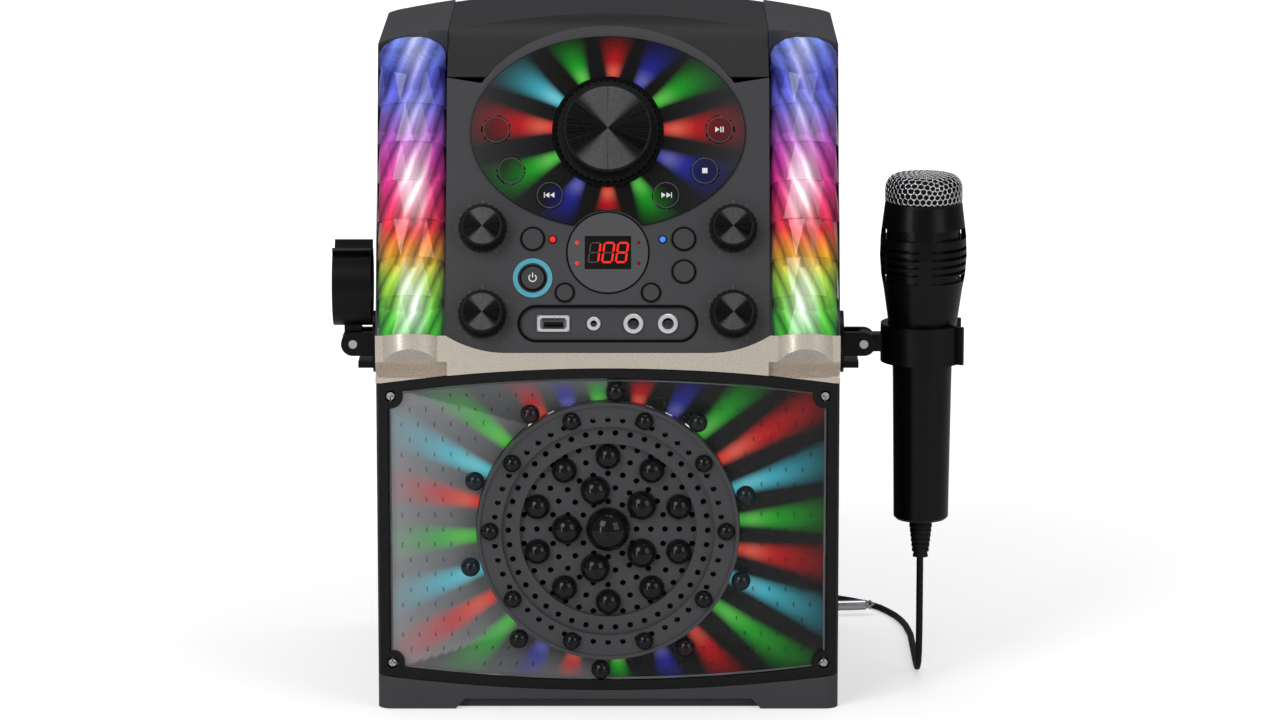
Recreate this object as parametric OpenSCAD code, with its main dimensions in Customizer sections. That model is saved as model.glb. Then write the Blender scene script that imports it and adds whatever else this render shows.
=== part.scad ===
// Karaoke machine: a lit speaker front below a leaning control panel, two crystal light
// columns, a disc tray under a crowned lid, and two holders, one of them with a microphone.
// Millimetres. X to the right, Y to the back, Z up; the origin is on the floor, mid cabinet.

/* [Cabinet] */
// Width of the cabinet
body_w = 266; // [256:1:276]
// Depth of the cabinet
body_d = 215; // [212:1:235]
// Height at the crown of the lid
body_h = 392; // [390:1:394]
// Fall of the crown from the middle to the sides
crown_drop = 14; // [10:1:16]
// Wall of the moulded shells
wall = 3; // [2.6:0.1:3.4]
// Radius of the upright rear corners
corner_r = 8; // [5:1:12]
// Height of the base
base_h = 20; // [19:0.5:22]
// Width of the recess between the two feet
toe_w = 166; // [120:1:180]
// Height of the recess between the two feet
toe_lift = 6; // [4:0.5:7]
// Depth of the recess between the two feet
toe_depth = 6; // [3:0.5:7]

/* [Speaker front] */
// Height of the front frame at its sides
frame_h = 171; // [168:1:171]
// Rise of the bowed top and bottom edges
frame_bow = 9; // [6:0.5:9]
// Width of the rim of the front frame
frame_rim = 5.5; // [4:0.5:7]
// Depth of the front frame
frame_t = 8; // [7:0.5:9]
// Radius of the speaker grille
grille_r = 75.6; // [74:0.2:77]
// Height of the middle of the grille
grille_z = 105; // [103:0.5:107]
// Thickness of the grille
grille_t = 2; // [1.6:0.1:2.4]
// Distance between the rings of grille holes
hole_pitch = 8.2; // [8:0.1:8.3]
// Radius of one grille hole
hole_r = 1.7; // [1.3:0.1:2]
// Radius of the big lens bead in the middle
bead_r = 12.8; // [11:0.2:13]
// Thickness of the clear front lens
lens_t = 1.5; // [1.2:0.1:2]

/* [Control panel] */
// Angle that the panel leans back
panel_lean = 18; // [17:0.5:19]
// Thickness of the control fascia
fascia_t = 3; // [2.6:0.1:3.4]
// Half width of the oval disc panel
oval_a = 79; // [76:0.5:80]
// Half height of the oval disc panel
oval_b = 56; // [54:0.5:57]
// Height of the middle of the oval along the panel
oval_v = 118; // [117:0.5:119]
// Thickness of the oval disc panel
oval_t = 1.2; // [1:0.1:1.6]
// Radius of the master volume knob
master_r = 29.5; // [27:0.5:30]
// Height of the master volume knob
master_h = 16; // [12:0.5:20]
// Radius of a small knob
knob_r = 13.9; // [12:0.1:14.5]
// Height of a small knob
knob_h = 13; // [10:0.5:16]
// Radius of a control shaft
shaft_r = 3; // [2.5:0.1:3.5]
// Travel of a push button
press = 1; // [0.6:0.1:1.2]
// Radius of a disc transport button
transport_r = 7.6; // [7:0.1:8]
// Radius of the round display window
display_r = 23.7; // [22:0.1:24]
// Bore radius of a microphone jack
jack_r = 3.25; // [3.2:0.01:3.4]
// Bore radius of the audio input
aux_r = 1.8; // [1.75:0.01:1.9]
// Bore radius of the power inlet
inlet_r = 2.85; // [2.7:0.05:3]

/* [Light columns] */
// Radius of a light column
col_r = 20; // [19:0.5:20.5]
// Height of one row of crystal facets
row_h = 22.3; // [20:0.1:24]
// Rows of crystal facets
rows = 8; // [8:1:9]
// Radius of the bore for the light strip
col_bore = 13; // [10:0.5:14]

/* [Disc tray] */
// Half width of the lid
lid_half = 92.5; // [88:0.5:92.5]
// Slope of the front of the lid
lid_slope = 42; // [40:0.5:44]
// Distance of the disc's middle behind the middle of the cabinet
disc_y = 34; // [33:0.5:35]
// Radius of the disc well
well_r = 62; // [61:0.1:63]
// Height of the tray plate
tray_z = 348; // [346:0.5:349]
// Radius of the hub that centres a disc
hub_r = 7.3; // [7.1:0.05:7.4]
// Radius of the sled rails
rail_r = 1.5; // [1.2:0.1:2]
// Radius of the lid's hinge pin
hinge_r = 1.5; // [1.2:0.1:2]

/* [Microphone holders] */
// Distance of the holders in front of the middle of the cabinet
holder_y = 40; // [35:1:50]
// Height of the holder pins
pin_z = 203.5; // [200:0.5:207]
// Reach from the cabinet's side to the pin
pin_out = 15.7; // [15:0.1:17]
// Reach from the pin to the middle of the ring
ring_reach = 34.5; // [34:0.1:37]
// Inner radius of the ring
ring_r = 20.3; // [20.3:0.1:20.8]
// Wall of the ring
ring_t = 4.2; // [3.6:0.1:4.6]
// Height of the ring
ring_h = 22.3; // [20:0.1:24]
// Radius of the holder pin
pin_r = 2.5; // [2:0.1:3]

/* [Microphone] */
// Bottom of the handle above the floor
mic_z = 98; // [96:0.5:100]
// Radius at the foot of the handle
mic_foot_r = 16; // [15:0.1:16.5]
// Greatest radius of the head
mic_head_r = 25.3; // [24:0.1:26]
// Length of the strain relief
relief_h = 23; // [23:1:23]
// Diameter of the lead
lead_d = 4; // [3.6:0.1:4]

/* [Hidden] */
$fn = 64;
gap = 0.3;
fit = 0.05;
eps = 1;
fine = 720;
far = 400;

front_y = -body_d / 2;
back_y = body_d / 2;
crown_r = (pow(body_w / 2, 2) + pow(crown_drop, 2)) / (2 * crown_drop);

// speaker front
frame_w = body_w - 3;
frame_z = base_h + gap + frame_h / 2;
seat_y = front_y + frame_t;
screw_in = 7;
screw_r = 3;
boss_r = 5.2;
reflector_t = 8;
reflector_back = front_y + 1 + lens_t + gap + reflector_t;
side_slope = 5;
top_slope = 16;
dish_r = 51;
dish_drop = 6;
step_r = 61.5;
step_drop = 3;
cone_r = grille_r - 19.6;
cone_depth = 34;

// control panel: v runs up the slope, w out of it
panel_y = front_y + 5;
panel_z = base_h + gap + frame_h + 27;
panel_half = body_w / 2 - 2 * col_r - gap;
side_v = 150;
dip_v = 9.6;
dip_x = 58;
tongue_a = oval_a + 3;
tongue_b = oval_b + 6.4;
collar_depth = 21;
board_w = 12;
board_t = 1.6;
knob_x = panel_half - 20.9;
knob_v = [62.2, 12.6];
display_v = 48.3;
plate_v = 7.3;
plate_w = 101.5;
plate_h = 19.6;
plate_drop = 1.2;
usb_x = -31.2;
aux_x = -8.1;
jack_x = [14.6, 34.4];
nut_r = 5.8;
aux_nut_r = 4;
jack_depth = 32;
aux_depth = 15;
inlet_x = 70;
inlet_z = 60;
// each button: place across, place up the slope, radius
BUTTONS = [[-64.2, 119.5, transport_r], [-55.6, 95.6, transport_r],
  [-33.3, 81.4, transport_r], [33.3, 81.4, transport_r], [55.6, 95.6, transport_r],
  [64.2, 119.5, transport_r], [-43.1, 33.6, 7.4], [-43.1, 56.2, 6.9], [43.5, 56.2, 6.9],
  [43.5, 37.3, 6.9], [-24.7, 25.2, 5.6], [24.7, 25.2, 5.6]];
power = 6;
power_ring_in = 8.6;
power_ring_out = 11.3;
LEDS = [[-31.7, 55.9], [31.4, 55.9]];
led_r = 1.8;

// light columns
col_x = body_w / 2 - col_r;
col_w = -8;
sides = 12;
twist = 15;
row_in = 0.93;
col_top_v = 149;
facet_angle = 38;

// disc tray and lid
hinge_y = back_y - 5;
hinge_z = body_h - 20;
knuckle_r = 4.5;
lid_back = hinge_y - 5.5;
lid_under = body_h - 34.5;
well_depth = 8;
deck_z = tray_z - 14;
deck_t = 2;
rail_y = 14;
rail_z = deck_z - 4;

// holders and microphone
pin_x = body_w / 2 + pin_out;
ring_x = pin_x + ring_reach;
mic_top = mic_z + 204;

// the lead's route from the strain relief to the coil, chosen by hand
LEAD = [[183, -40, 75], [183, -40, 66], [183, -40, 56], [183, -40, 46], [183, -40, 36],
  [183, -39, 26], [183, -36, 16], [183, -30, 8], [183, -20, 3], [183, -8, 2], [183, 4, 2],
  [183, 16, 2], [183, 28, 2], [183, 40, 2], [183, 52, 2], [183, 64, 2], [182, 76, 2],
  [181, 88, 2], [179, 100, 2], [176, 112, 2], [172, 123, 2], [167, 134, 2], [160, 144, 2],
  [151, 152, 2], [141, 159, 2], [130, 164, 2], [118, 168, 2], [106, 171, 2], [94, 173, 2],
  [82, 174, 2], [70, 175, 2], [58, 175, 2.2], [46, 175, 2.6], [34, 175, 3], [24, 175, 3]];
coil_c = [20, 145];
coil_out = 30;
coil_pitch = 5.2;
coil_step = 5;
coil_layers = 4;
coil_spiral = 2.5;
coil_rings = 24;
coil_z = 3;

// ---- placing and shared outlines ----

// a point of the side view, v up the panel and w out of it
function pan(v, w) = [panel_y + v * sin(panel_lean) - w * cos(panel_lean),
  panel_z + v * cos(panel_lean) + w * sin(panel_lean)];
function arc(c, r, a0, a1, n) =
  [for (i = [0:n]) c + r * [cos(a0 + (a1 - a0) * i / n), sin(a0 + (a1 - a0) * i / n)]];

// drawings in the plane of the speaker front, height up
module on_front(y = front_y) translate([0, y, 0]) rotate([90, 0, 0]) children();
// drawings in the plane of the control panel, height out of it
module on_panel() translate([0, panel_y, panel_z]) rotate([90 - panel_lean, 0, 0]) children();
module at_panel(x, v, w = 0) on_panel() translate([x, v, w]) children();
// a side view of points [y, z], drawn out to a width
module side_view(w) rotate([90, 0, 90]) linear_extrude(w, center = true) children();

module rounded(w, h, r) {
  square([w - 2 * r, h], center = true);
  square([w, h - 2 * r], center = true);
  for (x = [-1, 1], y = [-1, 1]) translate([x * (w / 2 - r), y * (h / 2 - r)]) circle(r);
}
module ring(r_out, r_in, h) difference() {
  cylinder(r = r_out, h = h);
  translate([0, 0, -eps]) cylinder(r = r_in, h = h + 2 * eps);
}
module oval(a, b) polygon([for (t = [0:5:355]) [a * cos(t), b * sin(t)]]);
module stadium(w, h) {
  square([w - h, h], center = true);
  for (s = [-1, 1]) translate([s * (w - h) / 2, 0]) circle(h / 2);
}
// upright sides with a bowed top and bottom
module bowed(w, h, bow) {
  r = (w * w / 4 + bow * bow) / (2 * bow);
  intersection() {
    square([w, h + 2 * bow], center = true);
    translate([0, h / 2 + bow - r]) circle(r, $fn = fine);
    translate([0, r - h / 2 - bow]) circle(r, $fn = fine);
  }
}
module frame_outline(grow = 0) translate([0, frame_z])
  bowed(frame_w + 2 * grow, frame_h + 2 * grow, frame_bow);

// ---- cabinet ----

module crown(inset) translate([0, 0, body_h - inset - crown_r]) rotate([90, 0, 0])
  cylinder(r = crown_r, h = far * 2, center = true, $fn = fine);

module base() color("#39393b") difference() {
  linear_extrude(base_h) rounded(body_w, body_d, corner_r);
  translate([0, 6, wall]) linear_extrude(base_h)
    rounded(body_w - 2 * wall, body_d - 2 * wall - 12, corner_r - wall);
  // the recess between the feet, with sloping ends
  on_front(front_y + toe_depth) linear_extrude(far)
    polygon([[-toe_w / 2 - toe_lift, -eps], [-toe_w / 2, toe_lift], [toe_w / 2, toe_lift],
      [toe_w / 2 + toe_lift, -eps]]);
  // room for the bowed lower edge of the front frame, and for the reflector inside it
  on_front(seat_y + gap) linear_extrude(far) frame_foot(body_w / 2 + 1, 0);
  on_front(reflector_back + gap) linear_extrude(far)
    frame_foot(frame_w / 2 - frame_rim + gap, frame_rim - gap);
}
// everything above the frame's lower edge, raised by lift, with the bow as short straight steps
module frame_foot(half, lift) translate([0, frame_z]) polygon(concat(
  [for (i = [-12:12]) [half * i / 12, lift - frame_h / 2 - gap - frame_bow * (1 - pow(i / 12, 2))]],
  [[half, frame_h], [-half, frame_h]]));

// everything inside the cabinet's skin, open to the front and below
module cabinet_block() intersection() {
  side_view(body_w) polygon([[seat_y + gap, base_h], [seat_y + gap, panel_z - gap],
    pan(0, -gap), pan(181, col_w), [-22, body_h + eps], [back_y, body_h + eps],
    [back_y, base_h]]);
  linear_extrude(far * 2) rounded(body_w, body_d, corner_r);
  crown(0);
}
module cabinet_hollow() intersection() {
  translate([-body_w / 2 + wall, -far, -eps]) cube([body_w - 2 * wall, far + back_y - wall, far]);
  crown(wall);
}
module column_axis(x) on_panel() translate([x, 0, col_w]) rotate([-90, 0, 0]) children();
module column_bar(r, v0, v1) for (s = [-1, 1]) column_axis(s * col_x)
  translate([0, 0, v0]) cylinder(r = r, h = v1 - v0);

module rear_shell() color("#2b2b2d") difference() {
  union() {
    difference() {
      cabinet_block();
      cabinet_hollow();
    }
    // seats behind the light columns
    intersection() {
      cabinet_block();
      column_bar(col_r + gap + wall, -wall - gap, 200);
      for (s = [-1, 1]) translate([s * (lid_half + gap + far / 2), 0, far / 2])
        cube([far, far, far * 2], center = true);
    }
    // shoulder walls beside the lid, down to the tray
    intersection() {
      crown(0);
      for (s = [-1, 1]) translate([s * (lid_half + gap + wall / 2), 0, tray_z + far / 2])
        translate([0, (back_y - 30) / 2, 0]) cube([wall, back_y + 28, far], center = true);
    }
    hinge_lugs();
  }
  column_bar(col_r + gap, -gap, far);
  // the opening under the lid, and the lower rear wall behind it
  translate([-lid_half - gap, -far, tray_z]) cube([2 * (lid_half + gap), far + back_y - 9.7, far]);
  translate([-lid_half - gap, -far, hinge_z - 6]) difference() {
    cube([2 * (lid_half + gap), 2 * far, far]);
    translate([lid_half + gap, far, 6 - hinge_z]) hinge_lugs();
  }
  hinge_bore(fit);
  // vent slots low in the rear wall
  for (i = [-4:4]) translate([i * 12 - 2, back_y - 2 * wall, 120]) cube([4, 3 * wall, 60]);
  translate([inlet_x, back_y + eps, inlet_z]) rotate([90, 0, 0])
    cylinder(r = inlet_r + 2.4 + gap, h = 3 * wall);
}
lug_x = [52, 82];
module hinge_lugs() for (s = [-1, 1], x = lug_x) translate([s * x - 3, 0, 0]) {
  translate([0, hinge_y, hinge_z]) rotate([0, 90, 0]) cylinder(r = knuckle_r, h = 6);
  translate([0, hinge_y - knuckle_r, hinge_z - 14]) cube([6, knuckle_r + 5 - 0.01, 14]);
}
module hinge_bore(grow) translate([0, hinge_y, hinge_z]) rotate([0, 90, 0])
  cylinder(r = hinge_r + grow, h = far, center = true);

// ---- speaker front ----

module corner_spots() for (x = [-1, 1], z = [-1, 1])
  translate([x * (frame_w / 2 - screw_in), frame_z + z * (frame_h / 2 - screw_in), 0]) children();

module front_frame() color("#0c0c0d") on_front(seat_y) difference() {
  union() {
    linear_extrude(frame_t) difference() {
      frame_outline();
      translate([0, frame_z])
        bowed(frame_w - 2 * frame_rim, frame_h - 2 * frame_rim, frame_bow);
    }
    linear_extrude(frame_t) intersection() {
      frame_outline();
      union() corner_spots() circle(boss_r + 2);
    }
  }
  corner_spots() translate([0, 0, -eps]) cylinder(r = screw_r / 2 + fit, h = far);
  corner_spots() translate([0, 0, frame_t - 2]) cylinder(r = screw_r + gap, h = far);
}

module window_outline(grow = 0) difference() {
  translate([0, frame_z]) bowed(frame_w - 2 * frame_rim - 2 * gap + 2 * grow,
    frame_h - 2 * frame_rim - 2 * gap + 2 * grow, frame_bow);
  corner_spots() circle(boss_r + 2 + gap);
  translate([0, grille_z]) circle(grille_r + gap, $fn = 96);
}
module front_lens() color([0.7, 0.8, 0.85, 0.3]) on_front(front_y + 1 + lens_t)
  linear_extrude(lens_t) window_outline();

// four faces that slope in from the frame to the round grille
module slope(edge, a) translate([0, edge, reflector_t]) rotate([a, 0, 0])
  translate([-far, -2 * far, 0]) cube([2 * far, 4 * far, far]);
module reflector() color("#1d1d20") on_front(reflector_back)
  difference() {
    linear_extrude(reflector_t) window_outline();
    translate([0, frame_z, 0]) intersection() {
      slope(frame_h / 2, top_slope);
      mirror([0, 1, 0]) slope(frame_h / 2, top_slope);
      rotate([0, 0, 90]) slope(frame_w / 2, side_slope);
      rotate([0, 0, -90]) slope(frame_w / 2, side_slope);
    }
  }

function hole_spots(k) = [for (i = [0:1:max(0, 6 * k - 1)])
  k * hole_pitch * [cos(60 * i / max(k, 1)), sin(60 * i / max(k, 1))]];
module holes(k0, k1) for (k = [k0:k1], p = hole_spots(k)) translate(p) circle(hole_r, $fn = 16);

// a stepped dish: raised rim, channel and sunken middle, each with its rings of holes
module speaker_grille() color("#26262a") on_front() translate([0, grille_z, 0]) {
  translate([0, 0, -grille_t]) linear_extrude(grille_t) difference() {
    circle(grille_r, $fn = 96);
    circle(step_r);
    holes(8, 8);
  }
  translate([0, 0, -step_drop - grille_t]) linear_extrude(grille_t) difference() {
    circle(step_r);
    circle(dish_r + 1);
    holes(7, 7);
  }
  translate([0, 0, -dish_drop - grille_t]) linear_extrude(grille_t) difference() {
    circle(dish_r + 1);
    holes(0, 6);
  }
  // walls that join the steps, and the rim that reaches back to the baffle
  translate([0, 0, -step_drop - grille_t]) ring(step_r + grille_t, step_r - 0.01, step_drop + 1);
  translate([0, 0, -dish_drop - grille_t]) ring(dish_r + 3, dish_r, dish_drop - 1);
  translate([0, 0, -frame_t]) ring(grille_r, grille_r - grille_t, frame_t - 1);
  translate([0, 0, -1.2]) ring(grille_r, grille_r - 2, 2.2);
}

// rings of lens beads: [count, distance, first angle, radius, height of the seat]
BEADS = [[1, 0, 0, bead_r, -dish_drop], [5, 24, 36, 8.6, -dish_drop],
  [10, 47 - 4.2, 18, 7.4, -dish_drop], [10, 68, 0, 5.2, 0]];
module half_ball(r) intersection() {
  sphere(r, $fn = 32);
  translate([-r, -r, 0]) cube([2 * r, 2 * r, r]);
}
module lens_beads() color([0.25, 0.26, 0.28, 0.7]) on_front() translate([0, grille_z, 0]) {
  for (b = BEADS, i = [0:1:b[0] - 1])
    rotate([0, 0, b[2] + i * 360 / b[0]]) translate([b[1], 0, b[4]]) half_ball(b[3]);
  for (i = [0:9]) rotate([0, 0, 15 + 36 * i]) translate([grille_r + 6.4, 0, -1]) half_ball(5.6);
}

module case_screw(l) {
  translate([0, 0, -l]) cylinder(r = screw_r / 2, h = l);
  difference() {
    cylinder(r1 = screw_r, r2 = screw_r - 0.8, h = 1.7);
    for (a = [0, 90]) rotate([0, 0, a]) translate([-2, -0.4, 0.8]) cube([4, 0.8, 2]);
  }
}
module case_screws() color("#9a9a9c") on_front(front_y + 2) corner_spots() case_screw(5.5);

module speaker_basket() color("#3d3d40") on_front(seat_y) translate([0, grille_z, 0])
  rotate_extrude() polygon([[cone_r + 4, -2], [grille_r - 3, -2], [grille_r - 3, -gap],
    [cone_r + 8, -gap], [cone_r + 8, -1], [cone_r + 4, -1], [30, 4 - cone_depth],
    [30, -cone_depth - 16], [8, -cone_depth - 16], [8, -cone_depth - 18],
    [34, -cone_depth - 18], [34, 1 - cone_depth]]);
// cone with a dust cap and a rolled surround
module speaker_cone() color("#202022") on_front(seat_y) translate([0, grille_z, 0])
  rotate_extrude() polygon(concat([[0, -20], [12, -22], [16, -26], [cone_r, -1.5]],
    arc([cone_r + 3, -0.7], 2.6, 165, 15, 8), [[cone_r + 7.6, -0.7], [cone_r + 6.8, -0.7]],
    arc([cone_r + 3, -0.9], 1.8, 15, 165, 6), [[cone_r, -3], [15, -28], [0, -24]]));

// ---- trim band ----

module fascia_outline(grow = 0) union() {
  polygon(concat([[panel_half + grow, side_v + grow]], [for (p = dip(grow)) p],
    [for (i = [len(dip(grow)) - 1:-1:0]) [-dip(grow)[i][0], dip(grow)[i][1]]],
    [[-panel_half - grow, side_v + grow], [-tongue_a + 8, side_v - 3 + grow],
      [tongue_a - 8, side_v - 3 + grow]]));
  translate([0, oval_v]) oval(tongue_a + grow, tongue_b + grow);
}
dip_r = (pow(panel_half - dip_x, 2) + pow(dip_v, 2)) / (2 * dip_v);
// the right half of the lower edge, from the side to the flat middle
function dip(grow) = let (a = asin((panel_half - dip_x) / dip_r))
  [for (i = [0:8]) [dip_x + (dip_r + grow) * sin(a * (1 - i / 8)),
    -dip_v + dip_r - (dip_r + grow) * cos(a * (1 - i / 8))]];

band_foot = frame_z + frame_h / 2 + 2 * gap;
module trim_band() color("#b3aba0") difference() {
  union() {
    translate([-body_w / 2, front_y, band_foot])
      cube([body_w, frame_t - gap, panel_z + 14 - band_foot]);
    // pedestals of the light columns, cut back in an arch at the foot
    for (s = [-1, 1]) intersection() {
      translate([s * col_x, pan(0, col_w)[0], frame_z + 90]) cylinder(r = col_r, h = 60);
      translate([s * col_x - col_r, front_y - col_r, 0]) cube([2 * col_r, col_r + 5, far]);
    }
  }
  for (s = [-1, 1]) translate([s * col_x, front_y, base_h + frame_h + 4]) rotate([-50, 0, 0])
    translate([-col_r - eps, -far, -far / 2 + 6]) cube([2 * col_r + 2 * eps, far, far / 2]);
  on_front(seat_y + eps) linear_extrude(far) frame_outline(gap);
  on_panel() translate([0, 0, -far / 2]) linear_extrude(far) fascia_outline(gap);
  for (s = [-1, 1]) on_panel() translate([s * (body_w / 2), 0, 0])
    translate([-2 * col_r - gap, -gap, -far / 2]) cube([4 * col_r + 2 * gap, far, far]);
}

// ---- control panel ----

module fascia() difference() {
  translate([0, 0, -fascia_t]) linear_extrude(fascia_t) difference() {
    fascia_outline();
    for (b = BUTTONS) translate([b[0], b[1]]) circle(b[2] + gap);
    for (s = [-1, 1], v = knob_v) translate([s * knob_x, v]) circle(shaft_r + fit);
    translate([0, oval_v]) circle(shaft_r + fit);
    translate([0, display_v]) circle(display_r + gap);
    translate([0, plate_v]) stadium(plate_w + 2 * gap, plate_h + 2 * gap);
    for (p = LEDS) translate(p) circle(led_r + fit);
  }
}
module control_fascia() color("#454547") {
  on_panel() fascia();
  // collar round the raised part of the oval, behind the lid's arch
  on_panel() translate([0, 0, -collar_depth]) linear_extrude(collar_depth - fascia_t + 0.5)
    intersection() {
      difference() {
        translate([0, oval_v]) oval(tongue_a, tongue_b);
        translate([0, oval_v]) oval(tongue_a - 2.4, tongue_b - 2.4);
      }
      translate([-far / 2, side_v - 12]) square(far);
    }
}
module disc_panel() color("#17171a") on_panel() linear_extrude(oval_t) difference() {
  translate([0, oval_v]) oval(oval_a, oval_b);
  translate([0, display_v]) circle(display_r + 1.2);
  for (i = [0:5]) translate([BUTTONS[i][0], BUTTONS[i][1]]) circle(BUTTONS[i][2] + gap);
  translate([0, oval_v]) circle(shaft_r + fit);
}
module master_bezel() color("#0d0d0e") at_panel(0, oval_v, oval_t) difference() {
  ring(master_r + 2.6, master_r + gap, 3);
  for (i = [0:35]) rotate([0, 0, 10 * i]) translate([master_r + 1.8, -0.9, 2.2])
    cube([2, 1.8, 2]);
}
// a turned cap with a fluted skirt, on its shaft
module knob(r, h, flutes, lift) {
  difference() {
    union() {
      translate([0, 0, lift + gap]) cylinder(r = r, h = 4);
      translate([0, 0, lift + gap]) cylinder(r = r * 0.86, h = h - 1);
      translate([0, 0, lift + gap + h - 1]) cylinder(r1 = r * 0.86, r2 = r * 0.86 - 1, h = 1);
    }
    for (i = [0:1:flutes - 1]) rotate([0, 0, i * 360 / flutes])
      translate([r + 0.5, 0, lift]) cylinder(r = 1.1, h = 5, $fn = 16);
  }
  translate([0, 0, gap - board_w + board_t]) cylinder(r = shaft_r, h = lift + board_w - board_t);
}
module master_knob() color("#1a1a1b") at_panel(0, oval_v) knob(master_r, master_h, 48, oval_t);
module small_knob(s, i) color("#1a1a1b")
  at_panel(s * knob_x, knob_v[i]) knob(knob_r, knob_h, 24, 0);

// a push button: cap, flange behind the fascia and a stem to its switch
module button(i, proud) color("#343436") at_panel(BUTTONS[i][0], BUTTONS[i][1]) {
  translate([0, 0, -fascia_t - gap]) cylinder(r = BUTTONS[i][2], h = fascia_t + gap + proud);
  translate([0, 0, -fascia_t - gap - 1.2]) cylinder(r = BUTTONS[i][2] + 0.9, h = 1.2);
  translate([0, 0, -board_w + board_t + press + gap])
    cylinder(r = 1.5, h = board_w - board_t - press - gap - fascia_t - 1);
}
module power_ring() color("#8fe0f0") at_panel(BUTTONS[power][0], BUTTONS[power][1])
  ring(power_ring_out, power_ring_in, 0.8);
module display_window() color([0.3, 0.3, 0.32, 0.6]) at_panel(0, display_v, -fascia_t)
  cylinder(r = display_r, h = fascia_t + 0.6);
module display_module() color("#701010") at_panel(0, display_v, -board_w + board_t)
  translate([-14, -10, 0]) cube([28, 20, board_w - board_t - fascia_t - gap]);
module indicator_lenses() color("#c02020") for (p = LEDS) at_panel(p[0], p[1], -board_w + board_t)
  cylinder(r = led_r, h = board_w - board_t + 0.6);
module socket_cut(grow, h) {
  for (x = jack_x) translate([x, plate_v]) circle(nut_r + grow);
  translate([aux_x, plate_v]) circle(aux_nut_r + grow);
  translate([usb_x, plate_v]) square([19 + 2 * grow, 9.8 + 2 * grow], center = true);
}
module socket_plate() color("#2e2e30") on_panel() translate([0, 0, -fascia_t])
  linear_extrude(fascia_t - plate_drop) difference() {
    translate([0, plate_v]) stadium(plate_w, plate_h);
    socket_cut(fit);
  }
usb_w = 13.4;
usb_h = 6.4;
module usb_socket() color("#c9c9cc") at_panel(usb_x, plate_v, -board_w + board_t)
  difference() {
    translate([-9.5, -4.9, 0]) cube([19, 9.8, board_w - board_t]);
    translate([-usb_w / 2, -usb_h / 2, 1]) cube([usb_w, usb_h, board_w]);
  }
module jack(r, bore, h) difference() {
  translate([0, 0, -h]) cylinder(r = r, h = h);
  translate([0, 0, 1 - h]) cylinder(r = bore, h = h);
}
module jack_sockets() color("#c9c9cc") {
  for (x = jack_x) at_panel(x, plate_v) jack(nut_r, jack_r, jack_depth);
  at_panel(aux_x, plate_v) jack(aux_nut_r, aux_r, aux_depth);
  translate([inlet_x, back_y, inlet_z]) rotate([-90, 0, 0]) jack(inlet_r + 2.4, inlet_r, 12);
}
module control_board() color("#1f5a34") on_panel() translate([0, 0, -board_w])
  linear_extrude(board_t) difference() {
    translate([-panel_half + 6, -4]) square([2 * panel_half - 12, 136]);
    for (s = [-1, 1]) translate([s * panel_half, 136]) circle(14);
    for (x = jack_x) translate([x, plate_v]) circle(nut_r + fit);
    translate([aux_x, plate_v]) circle(aux_nut_r + fit);
  }

// ---- light columns ----

// one ring of a column: even rings are wide, odd rings narrow and turned half a facet
function col_ring(i) = let (k = floor((i + 1) / 2), wide = i % 2 == 0)
  [for (j = [0:sides - 1]) let (a = 360 / sides * j + (wide ? 0 : twist) + 7 * floor(i / 2))
    [col_r * (wide ? 1 : row_in) * cos(a), col_r * (wide ? 1 : row_in) * sin(a), k * row_h]];
module crystal() {
  n = 2 * rows;
  pts = [for (i = [0:n - 1], p = col_ring(i)) p];
  skin = [for (i = [0:n - 2], j = [0:sides - 1], t = [0, 1])
    let (a = i * sides + j, b = i * sides + (j + 1) % sides)
      t == 0 ? [a, a + sides, b] : [b, a + sides, b + sides]];
  polyhedron(pts, concat([[for (j = [0:sides - 1]) j]], skin,
    [[for (j = [sides - 1:-1:0]) (n - 1) * sides + j]]), convexity = 4);
}
module column(s) color([0.8, 0.5, 0.9, 0.6]) difference() {
  column_axis(s * col_x) crystal();
  column_axis(s * col_x) translate([0, 0, -eps])
    cylinder(r = col_bore, h = col_top_v - 6, $fn = 24);
  // the slanting top facet
  at_panel(0, col_top_v, col_w + col_r) rotate([facet_angle, 0, 0])
    translate([-far / 2, 0, -far + 20]) cube([far, far, far]);
}
module led_strips() color("#e8e8ea") for (s = [-1, 1]) column_axis(s * col_x)
  translate([-5, -1, gap / 2]) cube([10, 2, col_top_v - 12]);

// ---- lid and disc tray ----

lid_foot = pan(side_v + gap + 0.2, 0);
lid_bend = 45;
// side view of the lid, its slope rounded into the top
function lid_side(inset) = let (s = lid_slope, run = (body_h - inset - lid_foot[1]) / tan(s),
    top_y = lid_foot[0] + inset / sin(s) + run, back_in = lid_bend * tan(s / 2))
  concat([[lid_foot[0] + inset / sin(s) - inset, lid_foot[1] - inset * tan(s)]],
    arc([top_y + back_in, body_h - inset - lid_bend], lid_bend, 90 + s, 90, 10),
    [[lid_back - inset, body_h - inset], [lid_back - inset, lid_under - inset * 4],
      [pan(side_v, -8)[0] + inset, lid_under - inset * 4]]);
module lid() color("#333335") {
  difference() {
    intersection() {
      side_view(2 * lid_half) polygon(lid_side(0));
      crown(0);
    }
    intersection() {
      side_view(2 * lid_half - 2 * wall) polygon(lid_side(wall));
      crown(wall);
    }
    // the arch that clears the raised oval and its collar
    on_panel() translate([0, 0, -far / 2]) linear_extrude(far)
      translate([0, oval_v]) oval(tongue_a + gap + 0.2, tongue_b + gap + 0.2);
  }
  // knuckles and the arms that carry them
  difference() {
    for (s = [-1, 1]) translate([s * 70 - 8, 0, 0]) {
      translate([0, hinge_y, hinge_z]) rotate([0, 90, 0]) cylinder(r = knuckle_r, h = 16);
      translate([0, lid_back - 0.5, hinge_z - 3]) cube([16, hinge_y - lid_back, 6]);
    }
    hinge_bore(fit);
  }
}
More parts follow.
